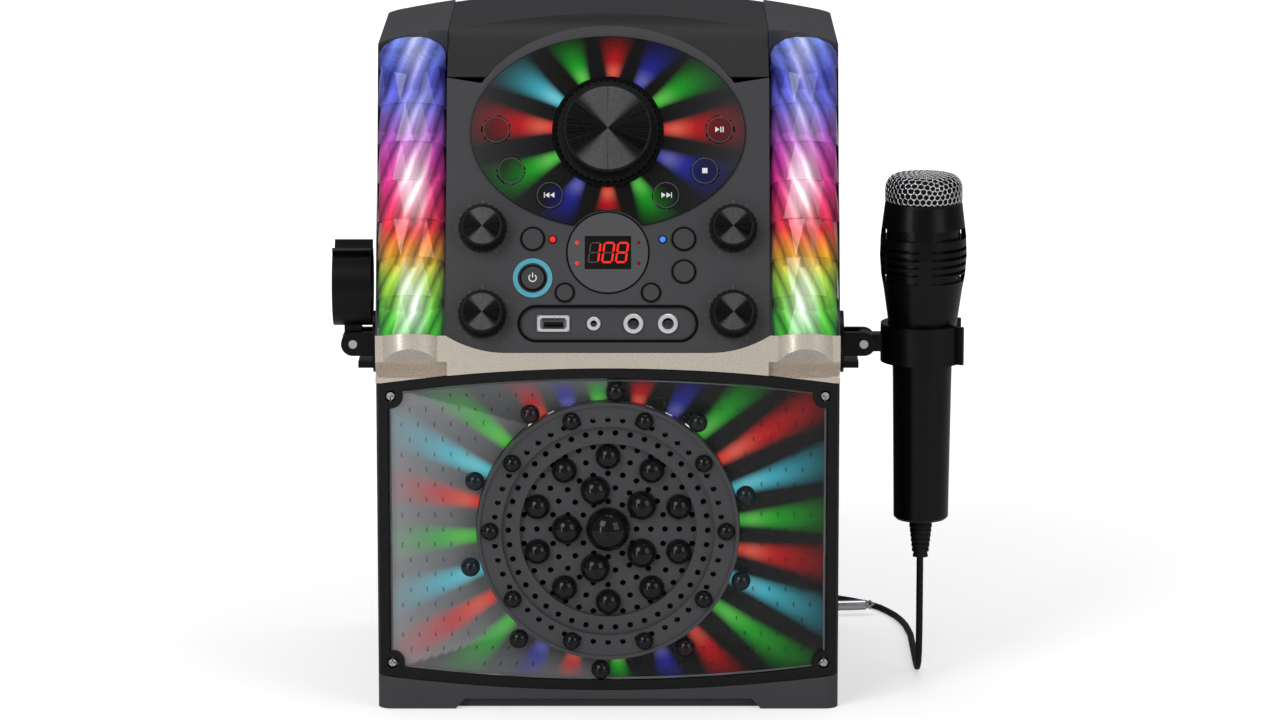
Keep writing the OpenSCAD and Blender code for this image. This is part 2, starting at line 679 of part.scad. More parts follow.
module lid_hinge_pin() color("#b0b0b4") for (s = [-1, 1])
  translate([s * 70 - 18, hinge_y, hinge_z]) rotate([0, 90, 0]) cylinder(r = hinge_r, h = 36);

module disc_tray() color("#202022") {
  difference() {
    union() {
      translate([-lid_half - gap - wall, -27, tray_z - wall])
        cube([2 * (lid_half + gap + wall), back_y - wall + 27, wall]);
      translate([0, disc_y, tray_z - well_depth - wall]) cylinder(r = well_r + wall, h = well_depth + 1);
    }
    translate([0, disc_y, tray_z - well_depth]) cylinder(r = well_r, h = far);
    translate([0, disc_y, 0]) cylinder(r = hub_r + 9, h = far);
    // window that the pickup looks through
    translate([hub_r, disc_y - 11, 0]) cube([50, 22, far]);
  }
  // rims that the lid closes on
  for (s = [-1, 1]) translate([s * (lid_half - 2) - 2, -24, tray_z])
    cube([4, lid_back + 20, lid_under - tray_z - gap]);
}
module turntable() color("#d8d8da") translate([0, disc_y, 0]) {
  translate([0, 0, tray_z - well_depth + 1]) cylinder(r = hub_r + 7.5, h = 2.5);
  translate([0, 0, tray_z - well_depth + 3]) cylinder(r = hub_r, h = 4);
  translate([0, 0, tray_z - well_depth + 7]) cylinder(r1 = hub_r, r2 = hub_r - 2, h = 1.5);
  translate([0, 0, deck_z - 8]) cylinder(r = 1, h = tray_z - well_depth - deck_z + 9.5);
}
module drive_deck() color("#8c8f94") translate([0, disc_y, 0]) difference() {
  union() {
    difference() {
      translate([-34, -24, deck_z - deck_t - 10]) cube([100, 48, deck_t]);
      translate([12, -16, 0]) cube([48, 32, far]);
    }
    // motor can, posts under the tray and the rods that guide the sled
    translate([0, 0, deck_z - 10]) cylinder(r = 10, h = 11);
    for (x = [-28, 62], y = [-20, 20]) translate([x, y, deck_z - 10])
      cylinder(r = 3, h = tray_z - wall - deck_z + 10 - well_depth);
    for (y = [-rail_y, rail_y]) {
      translate([10, y, rail_z]) rotate([0, 90, 0]) cylinder(r = rail_r, h = 52);
      for (x = [10, 59]) translate([x, y - 3, deck_z - 11]) cube([3, 6, rail_z - deck_z + 14]);
    }
  }
  translate([0, 0, deck_z - 9]) cylinder(r = 1 + fit, h = far);
}
module pickup_sled() color("#2c2f34") translate([0, disc_y, 0]) difference() {
  union() {
    translate([16, -18, rail_z - 3]) cube([18, 36, 6]);
    translate([25, 0, rail_z + 2]) cylinder(r = 4, h = 7);
  }
  for (y = [-rail_y, rail_y]) translate([0, y, rail_z]) rotate([0, 90, 0])
    cylinder(r = rail_r + fit, h = far);
}

// ---- microphone holders ----

bracket_t = 4;
module holder_brackets() color("#141415") for (s = [-1, 1]) translate([0, -holder_y, pin_z])
  mirror([s < 0 ? 1 : 0, 0, 0]) difference() {
    union() {
      translate([body_w / 2, 0, 0]) rotate([0, 90, 0]) cylinder(r = 18, h = bracket_t);
      // two ears and the shelf that the arm rests on
      for (y = [-9.5, 6]) translate([body_w / 2, y, 0]) {
        translate([0, 0, -7]) cube([pin_out, 3.5, 14]);
        translate([pin_out, 0, 0]) rotate([-90, 0, 0]) cylinder(r = 7, h = 3.5);
      }
      translate([body_w / 2, -9.5, -14]) cube([pin_out - 3, 19, 3.5]);
    }
    translate([pin_x, 0, 0]) rotate([90, 0, 0])
      cylinder(r = pin_r + fit, h = far, center = true);
  }
module holder_pins() color("#8f8f92") for (s = [-1, 1])
  translate([s * pin_x, -holder_y, pin_z]) rotate([90, 0, 0])
    cylinder(r = pin_r, h = 20, center = true);
// arm and open ring, drawn as if folded out level to the right of its pin
module clip() difference() {
  union() {
    rotate([90, 0, 0]) cylinder(r = 6.6, h = 11, center = true);
    translate([0, -5.5, -5]) cube([ring_reach - ring_r - 1, 11, 10]);
    difference() {
      translate([ring_reach, 0, -ring_h / 2]) cylinder(r = ring_r + ring_t, h = ring_h);
      // the mouth, on the far side
      translate([ring_reach + 2, 0, -ring_h]) linear_extrude(2 * ring_h)
        polygon([[0, 0], [60, 40], [60, -40]]);
    }
    // flared lips at the mouth
    for (s = [-1, 1]) translate([ring_reach + 2, 0, -ring_h / 2]) rotate([0, 0, s * 35])
      translate([ring_r - 1.4, s > 0 ? 0 : -2.2, 0]) cube([ring_t + 3, 2.2, ring_h]);
  }
  translate([ring_reach, 0, -ring_h]) cylinder(r = ring_r, h = 2 * ring_h);
  rotate([90, 0, 0]) cylinder(r = pin_r + fit, h = far, center = true);
}
module clip_right() color("#19191a") translate([pin_x, -holder_y, pin_z]) clip();
module clip_left() color("#19191a") translate([-pin_x, -holder_y, pin_z])
  mirror([1, 0, 0]) rotate([0, -90, 0]) clip();

// ---- microphone ----

module mic_place() translate([ring_x, -holder_y, mic_z]) children();
ring_top = pin_z + ring_h / 2 - mic_z;
MIC = [[0, 0], [mic_foot_r - 1.5, 0], [mic_foot_r, 1.5], [17.2, 88], [17.5, ring_top - 20],
  [ring_r - gap, ring_top], [mic_head_r - 2.6, 136], [mic_head_r - 0.8, 146],
  [mic_head_r, 157], [mic_head_r - 0.4, 168], [mic_head_r - 1.6, 178], [22.6, 187], [22, 188],
  [0, 188]];
slots = [[142.4, 4.5, 8], [147.6, 2, 7.7], [152, 2, 7.7], [156.5, 2, 7.7], [161, 2, 7.7],
  [167.6, 6, 12]];
module mic_body() color("#121213") mic_place() difference() {
  rotate_extrude($fn = 96) polygon(MIC);
  for (s = slots) translate([0, 0, s[0]]) difference() {
    ring(40, 21.4, s[1]);
    translate([-s[2] / 2, -50, -eps]) cube([s[2], 100, s[1] + 2 * eps]);
    for (x = [-1, 1]) translate([x * 60, 0, 0]) rotate([0, 0, 45])
      cube([54, 54, 20], center = true);
  }
}
module mic_grille() color("#a8a8aa") mic_place() translate([0, 0, 188]) rotate_extrude()
  polygon(concat([[0, 0]], [[21.8, 0], [21.8, 5]], arc([13.8, 8], 8, 0, 70, 8),
    [[8, 15.9], [0, 16]]));
module mic_relief() color("#0e0e0f") mic_place() mirror([0, 0, 1]) rotate_extrude()
  polygon(concat([[0, 0], [7, 0]], [for (i = [0:6], p = [[0, 0], [1.8, 0], [1.8, -0.9], [2.9, -0.9]])
    [7 - i * 0.33 + p[1], 0.6 + i * 2.9 + p[0]]], [[4.6, relief_h], [0, relief_h]]));

// ---- the microphone's lead ----

function unit(v) = v / norm(v);
function tangents(p) = [for (i = [0:len(p) - 1])
  unit(p[min(i + 1, len(p) - 1)] - p[max(i - 1, 0)])];
// side vectors carried along a path without twist
function carry(t, n0) = [for (i = 0, n = n0; i < len(t);
  i = i + 1, n = i < len(t) ? unit(n - (n * t[i]) * t[i]) : n) n];
module tube(p, r, n, side) {
  t = tangents(p);
  u = carry(t, side);
  m = len(p);
  pts = [for (i = [0:m - 1], j = [0:n - 1]) let (a = 360 * j / n)
    p[i] + r * (cos(a) * u[i] + sin(a) * cross(t[i], u[i]))];
  skin = [for (i = [0:m - 2], j = [0:n - 1], h = [0, 1])
    let (a = i * n + j, b = i * n + (j + 1) % n) h == 0 ? [a, b, a + n] : [b, b + n, a + n]];
  polyhedron(pts, concat([[for (j = [n - 1:-1:0]) j]], skin,
    [[for (j = [0:n - 1]) (m - 1) * n + j]]), convexity = 10);
}
module mic_lead() color("#0d0d0e") tube(LEAD, lead_d / 2, 8, [1, 0, 0]);

// place on the coil after u turns of one layer: distance from its middle
turns = coil_spiral + 0.5;
function in_layer(u) = min(u, coil_spiral) * coil_pitch;
function coil_r(t) = let (k = min(floor(t / turns), coil_layers - 1), u = t - k * turns)
  k % 2 == 0 ? coil_out - in_layer(u) : coil_out - coil_spiral * coil_pitch + in_layer(u);
function coil_rise(t) = let (k = min(floor(t / turns), coil_layers - 1), u = t - k * turns)
  k == coil_layers - 1 ? k : k + (1 - cos(180 * max(0, (u - coil_spiral) * 2))) / 2;
function coil_at(t) = [coil_c[0] + coil_r(t) * sin(-360 * t), coil_c[1] + coil_r(t) * cos(360 * t),
  coil_z + coil_step * coil_rise(t)];
coil_end = coil_layers * turns - 0.5;
COIL = concat([coil_at(0) + [4, 0, 0]], [for (i = [0:coil_end * coil_rings]) coil_at(i / coil_rings)],
  [coil_at(coil_end) + [4, 0, 0]]);
coil_gap = min([for (i = [0:len(COIL) - 12], j = [i + 10:len(COIL) - 1]) norm(COIL[i] - COIL[j])])
  - lead_d;
echo(coil_gap = coil_gap, coil_length = sum_len(COIL), lead_length = sum_len(LEAD),
  tail_length = sum_len(TAIL), coil_start = COIL[0], coil_stop = COIL[len(COIL) - 1]);
function sum_len(p) = let (d = [for (i = [1:len(p) - 1]) norm(p[i] - p[i - 1])])
  d * [for (x = d) 1];
module mic_coil() color("#0d0d0e") tube(COIL, lead_d / 2, 6, [0, 0, 1]);

// the last stretch, down off the coil to the plug on the floor
TAIL = [COIL[len(COIL) - 1], [32, 115, 18], [40, 115, 17.4], [48, 115, 16], [56, 115, 13.6],
  [64, 115, 11], [72, 115, 8.6], [80, 115.5, 7], [88, 116, 6.2], [96, 117, 6]];
module mic_tail() color("#0d0d0e") tube(TAIL, lead_d / 2, 8, [0, 0, 1]);
module mic_plug() {
  a = atan2(TAIL[9][1] - TAIL[8][1], TAIL[9][0] - TAIL[8][0]);
  translate(TAIL[9]) rotate([0, 0, a]) rotate([0, 90, 0]) {
    color("#101011") rotate_extrude() polygon([[0, 0], [3.2, 0], [4.4, 10], [6, 12], [6, 36],
      [5, 37], [0, 37]]);
    color("#c8c8ca") rotate_extrude() polygon([[0, 36.5], [3.17, 36.5], [3.17, 62], [2, 64],
      [3, 65.5], [0, 68.5]]);
  }
}
// strap round the coil
module mic_tie() color("#202020") translate([coil_c[0] - (2 * coil_out - coil_spiral * coil_pitch) / 2,
    coil_c[1], 0]) difference() {
  w = coil_spiral * coil_pitch + lead_d + coil_pitch + 2;
  h = (coil_layers - 1) * coil_step + lead_d + 2.4;
  translate([-w / 2, -4, 0]) cube([w, 8, h]);
  translate([-w / 2 + 0.8, -5, 0.7]) cube([w - 1.6, 10, h - 1.4]);
}

base();
rear_shell();
front_frame();
reflector();
front_lens();
speaker_grille();
lens_beads();
case_screws();
speaker_basket();
speaker_cone();
trim_band();
control_fascia();
disc_panel();
master_bezel();
master_knob();
small_knob(-1, 0);  // knob_upper_left
small_knob(-1, 1);  // knob_lower_left
small_knob(1, 0);  // knob_upper_right
small_knob(1, 1);  // knob_lower_right
button(0, 1.9);  // button_program
button(1, 1.9);  // button_repeat
button(2, 1.9);  // button_previous
button(3, 1.9);  // button_next
button(4, 1.9);  // button_stop
button(5, 1.9);  // button_play
button(6, 1.4);  // button_power
button(7, 1.2);  // button_open
button(8, 1.2);  // button_pairing
button(9, 1.2);  // button_light
button(10, 1.2);  // button_small_left
button(11, 1.2);  // button_small_right
power_ring();
display_window();
display_module();
indicator_lenses();
socket_plate();
usb_socket();
jack_sockets();
column(-1);  // column_left
column(1);  // column_right
led_strips();
control_board();
lid();
lid_hinge_pin();
disc_tray();
turntable();
drive_deck();
pickup_sled();
holder_brackets();
holder_pins();
clip_left();
clip_right();
mic_body();
mic_grille();
mic_relief();
mic_lead();
mic_coil();
mic_tail();
mic_plug();
mic_tie();
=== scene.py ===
"""A karaoke machine with a disc tray: its looks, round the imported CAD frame.

Everything is in metres in the frame of the part: X to the right, Y to the back, Z up, with the
origin on the floor in the middle of the cabinet's underside.
"""

import math

import bmesh
import bpy
from mathutils import Matrix, Vector


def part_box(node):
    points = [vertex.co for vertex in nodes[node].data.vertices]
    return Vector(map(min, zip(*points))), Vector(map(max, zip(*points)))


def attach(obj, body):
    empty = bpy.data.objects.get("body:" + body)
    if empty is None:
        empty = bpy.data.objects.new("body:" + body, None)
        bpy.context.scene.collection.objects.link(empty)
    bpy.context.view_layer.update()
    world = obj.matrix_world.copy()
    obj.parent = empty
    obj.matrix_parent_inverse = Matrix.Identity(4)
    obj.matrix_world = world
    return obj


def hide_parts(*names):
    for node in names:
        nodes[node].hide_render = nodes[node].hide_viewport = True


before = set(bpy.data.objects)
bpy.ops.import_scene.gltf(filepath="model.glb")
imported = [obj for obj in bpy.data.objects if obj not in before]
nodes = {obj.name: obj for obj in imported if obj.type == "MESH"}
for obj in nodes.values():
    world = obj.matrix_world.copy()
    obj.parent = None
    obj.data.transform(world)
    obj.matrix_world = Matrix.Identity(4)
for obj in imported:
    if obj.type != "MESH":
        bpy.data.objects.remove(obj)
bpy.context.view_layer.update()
mm = 0.001

# ---- driving places, the same as the part's own ----

PANEL_LEAN = math.radians(18)
PANEL_UP = Vector((0, math.sin(PANEL_LEAN), math.cos(PANEL_LEAN)))
PANEL_OUT = Vector((0, -math.cos(PANEL_LEAN), math.sin(PANEL_LEAN)))
PANEL_FOOT = Vector((0, -102.5, 218.3)) * mm
FRONT_Y = -107.5 * mm
GRILLE_Z = 105 * mm
GRILLE_R = 75.6 * mm
OVAL_V = 118 * mm
OVAL = (79 * mm, 56 * mm)
DISPLAY_V = 48.3 * mm
DISPLAY_R = 23.7 * mm
MIC_AXIS = (183.2 * mm, -40 * mm)
MIC_FOOT = 98 * mm
CORD_D = 4 * mm


def panel_matrix(x=0.0, v=0.0, w=0.0):
    """Places a piece drawn in XY on the leaning panel, at (x, v) and w above its face."""
    place = PANEL_FOOT + Vector((x, 0, 0)) + PANEL_UP * v + PANEL_OUT * w
    turn = Matrix(((1, 0, 0), PANEL_UP, PANEL_OUT)).transposed()
    return Matrix.Translation(place) @ turn.to_4x4()


def front_matrix(x, z, y):
    """Places a piece drawn in XY upright, facing the viewer."""
    turn = Matrix(((1, 0, 0), (0, 0, 1), (0, -1, 0))).transposed()
    return Matrix.Translation((x, y, z)) @ turn.to_4x4()


# ---- pieces ----


def linked(name, data):
    """A new object in the scene."""
    thing = bpy.data.objects.new(name, data)
    bpy.context.scene.collection.objects.link(thing)
    return thing


def repaint(mesh, paint):
    mesh.materials.clear()
    mesh.materials.append(paint)


def add_piece(name, shape, body, paint, smooth=35):
    """A shape as a piece that rides on a body. Edges sharper than smooth, in degrees, stay sharp."""
    points, faces = shape
    mesh = bpy.data.meshes.new(name)
    mesh.from_pydata([tuple(p) for p in points], [], faces)
    mesh.update()
    piece = linked(name, mesh)
    repaint(mesh, paint)
    if smooth:
        mesh.polygons.foreach_set("use_smooth", [True] * len(mesh.polygons))
        mesh.set_sharp_from_angle(angle=math.radians(smooth))
    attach(piece, body)
    return piece


def tint(piece, colours):
    """Gives each vertex of a piece its own colour, which the lit paints show."""
    layer = piece.data.color_attributes.new("tint", "FLOAT_COLOR", "POINT")
    for i, colour in enumerate(colours):
        layer.data[i].color = (*colour, 1)


# ---- shapes, each a list of points and a list of faces ----


def at(matrix, shape):
    """A shape moved by a matrix."""
    points, faces = shape
    return [matrix @ Vector(p) for p in points], faces


def flipped(shape):
    """A shape with its faces turned to the other side."""
    points, faces = shape
    return points, [f[::-1] for f in faces]


def turned(profile, sides):
    """A profile of (radius, height) turned about Z."""
    angles = [math.tau * i / sides for i in range(sides)]
    points = [(r * math.cos(a), r * math.sin(a), h) for a in angles for r, h in profile]
    n = len(profile)
    faces = []
    for i in range(sides):
        a, b = i * n, (i + 1) % sides * n
        faces += [(a + j, b + j, b + j + 1, a + j + 1) for j in range(n - 1)]
    return points, faces


def ring_faces(count, n):
    """Faces that join count rows of n points each to a closed ring."""
    faces = []
    for i in range(count):
        a, b = i * n, (i + 1) % count * n
        faces += [(a + j, a + j + 1, b + j + 1, b + j) for j in range(n - 1)]
    return faces


def disc(radius, sides):
    angles = [math.tau * i / sides for i in range(sides)]
    return [(radius * math.cos(a), radius * math.sin(a), 0.0) for a in angles], [tuple(range(sides))]


def plate(outline, thick):
    """An outline in XY, counter-clockwise, raised by thick and without a back."""
    n = len(outline)
    points = [(x, y, 0) for x, y in outline] + [(x, y, thick) for x, y in outline]
    faces = [tuple(range(n, 2 * n))]
    faces += [(i, (i + 1) % n, n + (i + 1) % n, n + i) for i in range(n)]
    return points, faces


def joined(*shapes):
    """Several shapes as one."""
    points, faces = [], []
    for p, f in shapes:
        base = len(points)
        points += list(p)
        faces += [tuple(base + i for i in face) for face in f]
    return points, faces


# ---- colours ----


def mix(a, b, t):
    t = min(max(t, 0), 1)
    return tuple(x + (y - x) * t for x, y in zip(a, b))


def srgb(text):
    """A colour written as six hex digits, as linear light."""
    parts = [int(text[i : i + 2], 16) / 255 for i in (0, 2, 4)]
    return tuple(c / 12.92 if c <= 0.04045 else ((c + 0.055) / 1.055) ** 2.4 for c in parts)


# ---- materials ----


def links_of(material):
    tree = material.node_tree
    return tree.nodes, tree.links, tree.nodes["Principled BSDF"]


def noise(tree_nodes, links, scale, detail, place):
    node = tree_nodes.new("ShaderNodeTexNoise")
    node.inputs["Scale"].default_value = scale
    node.inputs["Detail"].default_value = detail
    links.new(place, node.inputs["Vector"])
    return node.outputs["Fac"]


def ranged(tree_nodes, links, value, low, high):
    node = tree_nodes.new("ShaderNodeMapRange")
    links.new(value, node.inputs["Value"])
    node.inputs["From Min"].default_value = 0.3
    node.inputs["From Max"].default_value = 0.7
    node.inputs["To Min"].default_value = low
    node.inputs["To Max"].default_value = high
    return node.outputs["Result"]


DRIFT_SCALE = 14
RELIEF_DEPTH = 0.2 * mm
GLOSS_SPREAD = 0.14
COAT_ROUGH = 0.08
LIT_GRAIN, LIT_SCALE, LIT_MOTTLE = 700, 60, 0.25
PLASTIC_IOR = 1.46
PAINT = {}


def finish_of(name, colour, rough, metal=0.0, grain=900, bump=0.05, vary=0.12, coat=0.0):
    """A surface with fine grain in its relief and gloss, and a slow drift in its colour.

    The material is put in PAINT under its name.
    """
    material = bpy.data.materials.new(name)
    PAINT[name] = material
    material.use_nodes = True
    tree_nodes, links, shader = links_of(material)
    place = tree_nodes.new("ShaderNodeTexCoord").outputs["Object"]
    drift = noise(tree_nodes, links, DRIFT_SCALE, 3, place)
    shade = tree_nodes.new("ShaderNodeMix")
    shade.data_type = "RGBA"
    shade.inputs[6].default_value = (*[c * (1 - vary) for c in colour], 1)
    shade.inputs[7].default_value = (*[min(1, c * (1 + vary)) for c in colour], 1)
    links.new(drift, shade.inputs[0])
    links.new(shade.outputs[2], shader.inputs["Base Color"])
    fine = noise(tree_nodes, links, grain, 4, place)
    gloss = ranged(tree_nodes, links, fine, rough * (1 - GLOSS_SPREAD), rough * (1 + GLOSS_SPREAD))
    links.new(gloss, shader.inputs["Roughness"])
    relief = tree_nodes.new("ShaderNodeBump")
    relief.inputs["Strength"].default_value = bump
    relief.inputs["Distance"].default_value = RELIEF_DEPTH
    links.new(fine, relief.inputs["Height"])
    links.new(relief.outputs["Normal"], shader.inputs["Normal"])
    shader.inputs["Metallic"].default_value = metal
    shader.inputs["Coat Weight"].default_value = coat
    shader.inputs["Specular IOR Level"].default_value = 0.5 if metal else 0.2
    shader.inputs["Coat Roughness"].default_value = COAT_ROUGH
    return material


def lit_paint(name, rough, glow, bump=0.03, coat=0.0, metal=0.0):
    """A surface whose colour is its mesh's own tint, and which glows with it."""
    paint = finish_of(name, (0.5, 0.5, 0.5), rough, metal, LIT_GRAIN, bump, coat=coat)
    tree_nodes, links, shader = links_of(paint)
    own = tree_nodes.new("ShaderNodeVertexColor")
    own.layer_name = "tint"
    blend = tree_nodes.new("ShaderNodeMix")
    blend.data_type = "RGBA"
    blend.blend_type = "MULTIPLY"
    blend.inputs[0].default_value = LIT_MOTTLE
    links.new(own.outputs["Color"], blend.inputs[6])
    place = tree_nodes["Texture Coordinate"].outputs["Object"]
    links.new(noise(tree_nodes, links, LIT_SCALE, 2, place), blend.inputs[7])
    links.new(blend.outputs[2], shader.inputs["Base Color"])
    links.new(own.outputs["Color"], shader.inputs["Emission Color"])
    shader.inputs["Emission Strength"].default_value = glow


def clear_plastic(name, colour, rough, see, alpha=1.0):
    shader = links_of(finish_of(name, colour, rough, bump=0.01, vary=0.04))[2]
    shader.inputs["Transmission Weight"].default_value = see
    shader.inputs["IOR"].default_value = PLASTIC_IOR
    shader.inputs["Alpha"].default_value = alpha


def glowing(name, colour, strength):
    shader = links_of(finish_of(name, colour, 0.3, bump=0.01))[2]
    shader.inputs["Emission Color"].default_value = (*colour, 1)
    shader.inputs["Emission Strength"].default_value = strength


GREY = srgb("48484a")
finish_of("shell", srgb("444447"), 0.5, bump=0.12, grain=1400)
finish_of("gloss_black", srgb("060607"), 0.14, bump=0.01, vary=0.3, coat=0.12)
finish_of("grille", srgb("4a4a4c"), 0.38, bump=0.1, grain=1600)
finish_of("metal", srgb("c4c4c6"), 0.24, metal=1, bump=0.03)
finish_of("cone", srgb("1a1a1b"), 0.8, bump=0.5, grain=500)
finish_of("champagne", srgb("e0d4c6"), 0.27, metal=0.75, bump=0.04, grain=2600, coat=0.3)
finish_of("fascia", GREY, 0.46, bump=0.09, grain=1500)
finish_of("lid", srgb("1f1f21"), 0.42, bump=0.1, grain=1500)
finish_of("white", srgb("d9d9da"), 0.3)
finish_of("board", srgb("0e4a26"), 0.4, grain=200, bump=0.2)
finish_of("holder", srgb("070708"), 0.36, bump=0.08, grain=1300)
finish_of("mic", srgb("060607"), 0.3, bump=0.06, grain=1300)
finish_of("mesh", srgb("d6d6d8"), 0.26, metal=1, bump=0.04)
finish_of("rubber", srgb("121213"), 0.55, bump=0.2, grain=900)
finish_of("plug", srgb("c9c9cc"), 0.2, metal=1, bump=0.02)
finish_of("button", srgb("454547"), 0.5, bump=0.1, grain=1600)
finish_of("knob", srgb("161617"), 0.35, bump=0.05)
finish_of("dark", srgb("050505"), 0.7, bump=0.1)
# a pale metal grey for the painted highlight along the inside of the window's frame
finish_of("frame_edge_highlight", srgb("7d7d80"), 0.2, metal=0.6)
finish_of("outline", srgb("5f6163"), 0.4)
finish_of("tick", srgb("8a8a8c"), 0.5)
finish_of("display_face", srgb("58585a"), 0.16, bump=0.01, coat=0.6)
finish_of("segment_dark", srgb("5a4a48"), 0.4)
finish_of("led_dim", srgb("7c1512"), 0.2)
# near-white silver for the socket collars, partly a painted highlight
finish_of("bright", srgb("e6e6e8"), 0.25, metal=0.35, bump=0.02)
clear_plastic("clear", (1, 1, 1), 0.02, 1.0, alpha=0.16)
clear_plastic("smoked", (0.01, 0.01, 0.012), 0.05, 0.3)
# the reflector paint carries painted light: the beams and the painted reflection in the skins' tint
lit_paint("reflector", 0.3, 0.32, bump=0.08)
lit_paint("crystal", 0.1, 0.5, bump=0.01, coat=0.5)
# spun paint carries the painted reflection of the knobs' spun tops in its tint
lit_paint("spun", 0.3, 0.04, metal=0.85)
lit_paint("lit", 0.3, 1.0, bump=0.01)
glowing("ring_light", srgb("559fb0"), 0.22)
glowing("mark_white", srgb("d8d8d8"), 0.25)
glowing("segment_lit", srgb("f2231a"), 0.9)
glowing("blue_led", srgb("3d7be0"), 0.7)

# ---- camera: straight in front, 11 degrees above, with a long lens ----

MM_PER_PIXEL = 0.573
FRAME_W = 1280 * MM_PER_PIXEL * mm
CAMERA_ELEVATION = math.radians(11)
CAMERA_AIM = Vector((18.4, -100, 204)) * mm
CAMERA_FAR = 3.2


def camera():
    data = bpy.data.cameras.new("camera")
    data.sensor_width = 36
    data.lens = 36 * CAMERA_FAR / FRAME_W
    data.clip_end = 50
    view = linked("camera", data)
    back = Vector((0, -math.cos(CAMERA_ELEVATION), math.sin(CAMERA_ELEVATION)))
    view.location = CAMERA_AIM + back * CAMERA_FAR
    view.rotation_euler = (-back).to_track_quat("-Z", "Y").to_euler()
    bpy.context.scene.camera = view


camera()

# ---- the microphone's lead ----

LEAD = [
    (183, -40, 75), (183, -40, 66), (183, -40, 56), (183, -40, 46), (183, -40, 36),
    (183, -39, 26), (183, -36, 16), (183, -30, 8), (183, -20, 3), (183, -8, 2), (183, 4, 2),
    (183, 16, 2), (183, 28, 2), (183, 40, 2), (183, 52, 2), (183, 64, 2), (182, 76, 2),
    (181, 88, 2), (179, 100, 2), (176, 112, 2), (172, 123, 2), (167, 134, 2), (160, 144, 2),
    (151, 152, 2), (141, 159, 2), (130, 164, 2), (118, 168, 2), (106, 171, 2), (94, 173, 2),
    (82, 174, 2), (70, 175, 2), (58, 175, 2.2), (46, 175, 2.6), (34, 175, 3), (24, 175, 3),
]
TAIL = [
    (32, 115, 18), (40, 115, 17.4), (48, 115, 16), (56, 115, 13.6), (64, 115, 11),
    (72, 115, 8.6), (80, 115.5, 7), (88, 116, 6.2), (96, 117, 6),
]
COIL_MIDDLE = (20, 145)
COIL_OUT = 30
COIL_PITCH = 5.2
COIL_STEP = 5
COIL_LAYERS = 4
COIL_SPIRAL = 2.5
COIL_Z = 3
COIL_RINGS = 24


def coil_place(t):
    """The cord's place after t turns: it spirals in and out, and climbs in the half turn between."""
    turns = COIL_SPIRAL + 0.5
    layer = min(int(t // turns), COIL_LAYERS - 1)
    u = t - layer * turns
    across = min(u, COIL_SPIRAL) * COIL_PITCH
    r = COIL_OUT - across if layer % 2 == 0 else COIL_OUT - COIL_SPIRAL * COIL_PITCH + across
    climb = (1 - math.cos(math.pi * max(0, (u - COIL_SPIRAL) * 2))) / 2
    rise = layer if layer == COIL_LAYERS - 1 else layer + climb
    a = math.tau * t
    x, y = COIL_MIDDLE[0] - r * math.sin(a), COIL_MIDDLE[1] + r * math.cos(a)
    return (x, y, COIL_Z + COIL_STEP * rise)


def lead_route():
    last = COIL_LAYERS * (COIL_SPIRAL + 0.5) - 0.5
    coil = [coil_place(i / COIL_RINGS) for i in range(int(last * COIL_RINGS) + 1)]
    return [Vector(p) * mm for p in LEAD + coil + [coil_place(last)] + TAIL]


def microphone_lead():
    route = lead_route()
    kept = [route[0]]
    kept += [b for a, b in zip(route, route[1:]) if (b - a).length > 0.4 * mm]
    curve = bpy.data.curves.new("microphone_cord", "CURVE")
    curve.dimensions = "3D"
    curve.bevel_depth = CORD_D / 2
    curve.bevel_resolution = 4
    curve.use_fill_caps = True
    line = curve.splines.new("POLY")
    line.points.add(len(kept) - 1)
    for point, p in zip(line.points, kept):
        point.co = (*p, 1)
    curve.materials.append(PAINT["rubber"])
    piece = linked("microphone_cord", curve)
    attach(piece, "microphone")
    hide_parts("mic_lead", "mic_coil", "mic_tail")


microphone_lead()

# ---- the frame's own nodes get their materials ----

NODE_PAINT = {
    "shell": ["base", "rear_shell", "disc_tray", "pickup_sled"],
    "gloss_black": ["front_frame", "master_bezel", "reflector"],
    "grille": ["speaker_grille"],
    "metal": ["case_screws", "speaker_basket", "usb_socket", "jack_sockets", "lid_hinge_pin",
              "drive_deck", "holder_pins"],
    "cone": ["speaker_cone"],
    "champagne": ["trim_band"],
    "fascia": ["control_fascia", "socket_plate"],
    "lid": ["lid"],
    "white": ["led_strips", "turntable"],
    "board": ["control_board"],
    "holder": ["holder_brackets", "clip_left", "clip_right"],
    "mic": ["mic_body"],
    "dark": ["mic_grille", "display_module", "disc_panel"],
    "rubber": ["mic_relief", "mic_tie"],
    "plug": ["mic_plug"],
    "clear": ["front_lens"],
    "smoked": ["lens_beads", "display_window"],
    "button": [n for n in nodes if n.startswith("button_")],
    "knob": [n for n in nodes if "knob" in n],
    "ring_light": ["power_ring"],
    "led_dim": ["indicator_lenses"],
}
for paint, names in NODE_PAINT.items():
    for name in names:
        repaint(nodes[name].data, PAINT[paint])


def panel_height(node):
    """How far a node stands above the panel's face."""
    return max((v.co - PANEL_FOOT).dot(PANEL_OUT) for v in nodes[node].data.vertices)


# ---- the lit window round the speaker ----

